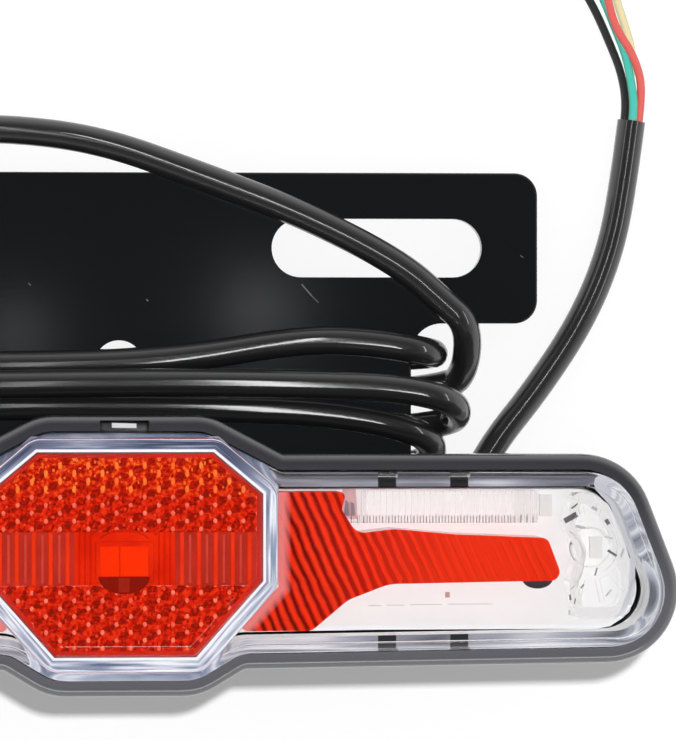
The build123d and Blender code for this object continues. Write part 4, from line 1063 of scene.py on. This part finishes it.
ON_TABLE = -5.0
wire_routes = {
    "black": [
        (66.66, 17.08, -3.75), (66.93, 19.12, -3.75), (66.40, 23.3, -4.6), (64.8, 27.4, ON_TABLE),
        (63.0, 31.5, ON_TABLE), (60.5, 35.8, ON_TABLE), (58.4, 40.4, ON_TABLE),
        (57.4, 45.4, ON_TABLE), (57.5, 50.4, ON_TABLE),
    ],
    "green": [
        (67.61, 16.96, -2.8), (67.88, 19.0, -2.8), (67.5, 22.4, -3.55), (66.9, 25.8, -4.4),
        (65.5, 29.4, ON_TABLE), (64.0, 33.2, ON_TABLE), (61.8, 37.2, ON_TABLE),
        (60.9, 42.4, ON_TABLE), (61.0, 47.4, ON_TABLE), (61.8, 52.0, ON_TABLE),
    ],
    "yellow": [
        (67.61, 16.96, -4.7), (67.88, 19.0, -4.7), (67.5, 22.4, ON_TABLE), (68.0, 25.8, ON_TABLE),
        (66.9, 29.6, ON_TABLE), (65.6, 33.4, ON_TABLE), (65.5, 37.8, ON_TABLE),
        (66.6, 42.2, ON_TABLE), (68.8, 46.4, ON_TABLE), (71.6, 50.2, ON_TABLE),
    ],
    "red": [
        (68.55, 16.84, -3.75), (68.82, 18.88, -3.75), (68.9, 22.4, -3.6), (67.6, 25.9, -3.3),
        (65.6, 28.8, -3.3), (64.5, 32.4, -3.5), (63.9, 36.8, -4.0), (63.4, 41.6, ON_TABLE),
        (64.6, 46.2, ON_TABLE), (66.4, 50.6, ON_TABLE),
    ],
}
wires = []
for colour, route in wire_routes.items():
    wire = free_cord("wire_" + colour + "_skin", route, 1.1, "wire_" + colour + "_skin", ["wire_" + colour])
    wires.append(wire)


# Table, lamps and camera


def table():
    made, shader = finish("table_white", (0.80, 0.80, 0.805), 0.6, Specular_IOR_Level=0.0)
    tree = made.node_tree
    path = tree.nodes.new("ShaderNodeLightPath")
    seen = tree.nodes.new("ShaderNodeMath")
    seen.operation = "ADD"
    mirrored = tree.nodes.new("ShaderNodeMath")
    mirrored.operation = "ADD"
    pale = tree.nodes.new("ShaderNodeMath")
    pale.operation = "MULTIPLY"
    pale.inputs[1].default_value = 0.25
    pale.use_clamp = True
    glow = tree.nodes.new("ShaderNodeEmission")
    glow.inputs["Color"].default_value = (1.0, 1.0, 1.0, 1.0)
    both = tree.nodes.new("ShaderNodeAddShader")
    link = tree.links.new
    link(path.outputs["Is Glossy Ray"], mirrored.inputs[0])
    link(path.outputs["Is Transmission Ray"], mirrored.inputs[1])
    link(path.outputs["Is Camera Ray"], seen.inputs[0])
    link(mirrored.outputs[0], seen.inputs[1])
    link(seen.outputs[0], pale.inputs[0])
    link(pale.outputs[0], glow.inputs["Strength"])
    link(shader.outputs["BSDF"], both.inputs[0])
    link(glow.outputs["Emission"], both.inputs[1])
    link(both.outputs["Shader"], tree.nodes["Material Output"].inputs["Surface"])
    top = bmesh.new()
    bmesh.ops.create_grid(top, x_segments=1, y_segments=1, size=3.0)
    bmesh.ops.translate(top, verts=top.verts, vec=(0.0, 0.0, -5.62 * MM))
    data = bpy.data.meshes.new("table_top")
    top.to_mesh(data)
    top.free()
    data.materials.append(made)
    surface = bpy.data.objects.new("table_top", data)
    bpy.context.scene.collection.objects.link(surface)


def soft_lamp(name, place, aim, width, height, power):
    """An area lamp in metres and watts, aimed at a point."""
    data = bpy.data.lights.new(name, "AREA")
    data.shape = "RECTANGLE"
    data.size = width
    data.size_y = height
    data.energy = power
    lamp = bpy.data.objects.new(name, data)
    lamp.location = place
    lamp.rotation_euler = (Vector(aim) - Vector(place)).to_track_quat("-Z", "Y").to_euler()
    bpy.context.scene.collection.objects.link(lamp)
    return lamp


def room_light():
    """A pale room: even for the fill light, and in reflections bright at the horizon and dark overhead."""
    world = bpy.data.worlds.new("room")
    bpy.context.scene.world = world
    world.use_nodes = True
    tree = world.node_tree
    background = tree.nodes["Background"]
    background.inputs["Color"].default_value = (1.0, 1.0, 1.0, 1.0)
    path = tree.nodes.new("ShaderNodeLightPath")
    direction = tree.nodes.new("ShaderNodeTexCoord")
    apart = tree.nodes.new("ShaderNodeSeparateXYZ")
    dim = tree.nodes.new("ShaderNodeMapRange")
    dim.inputs["From Min"].default_value = 0.1
    dim.inputs["From Max"].default_value = 0.9
    dim.inputs["To Min"].default_value = 1.1
    dim.inputs["To Max"].default_value = 0.02
    filled = tree.nodes.new("ShaderNodeMix")
    filled.inputs["B"].default_value = 0.2
    shown = tree.nodes.new("ShaderNodeMix")
    shown.inputs["B"].default_value = 1.0
    link = tree.links.new
    link(direction.outputs["Generated"], apart.inputs["Vector"])
    link(apart.outputs["Z"], dim.inputs["Value"])
    link(path.outputs["Is Diffuse Ray"], filled.inputs["Factor"])
    link(dim.outputs["Result"], filled.inputs["A"])
    link(path.outputs["Is Camera Ray"], shown.inputs["Factor"])
    link(filled.outputs["Result"], shown.inputs["A"])
    link(shown.outputs["Result"], background.inputs["Strength"])


def photo_camera():
    data = bpy.data.cameras.new("camera")
    data.sensor_width = 36.0
    data.lens = 5347.0 * 36.0 / 740.0
    data.clip_start = 0.01
    data.clip_end = 20.0
    camera = bpy.data.objects.new("camera", data)
    camera.location = (-25.9 * MM, -15.84 * MM, 694.4 * MM)
    camera.rotation_euler = (0.0, -math.atan2(54.34, 692.4), 0.0)
    bpy.context.scene.collection.objects.link(camera)
    bpy.context.scene.camera = camera


table()
key_lamp = soft_lamp("key_lamp", (0.03, 0.15, 1.3), (0.0, -0.02, 0.0), 0.05, 0.05, 13.2)
key_lamp.visible_glossy = False
shading = bpy.data.collections.new("key_lamp_shading")
for node in ("rear_housing", "lens_gasket", "main_board"):
    shading.objects.link(cad[node])
key_lamp.light_linking.blocker_collection = shading


def shine_lamp(name, place, width, height, power, lit):
    """A lamp that only shows as a reflection, and only in the named pieces."""
    lamp = soft_lamp(name, place, (place[0], place[1], 0.0), width, height, power)
    lamp.visible_diffuse = False
    only = bpy.data.collections.new(name + "_on")
    for piece in lit:
        only.objects.link(piece)
    lamp.light_linking.receiver_collection = only


cords = [cable] + wires
shine_lamp("cable_shine_right", (0.098, 0.0, 1.2), 0.026, 0.9, 1.5, cords)
shine_lamp("cable_shine_left", (0.012, 0.0, 1.2), 0.012, 0.9, 0.22, cords)
shine_lamp("side_shine_right", (1.1, 0.1, 1.0), 0.14, 1.0, 3.0, cords)
shine_lamp("side_shine_left", (-0.9, 0.1, 1.0), 0.10, 1.0, 1.3, cords)
shine_lamp("plate_patch_right", (0.095, 0.005, 1.2), 0.02, 0.02, 0.006, [cad["bracket"]])
shine_lamp("plate_patch_left", (0.008, -0.004, 1.2), 0.02, 0.02, 0.004, [cad["bracket"]])
low_panel = soft_lamp("low_panel", (0.0, -1.0, 0.75), (0.0, -0.04, 0.0), 1.6, 0.22, 3.2)
low_panel.visible_diffuse = False
low_panel_on = bpy.data.collections.new("low_panel_on")
low_panel_on.objects.link(cad["rear_housing"])
low_panel_on.objects.link(cad["front_lens"])
low_panel.light_linking.receiver_collection = low_panel_on
room_light()
photo_camera()
bpy.context.scene.view_settings.view_transform = "Standard"
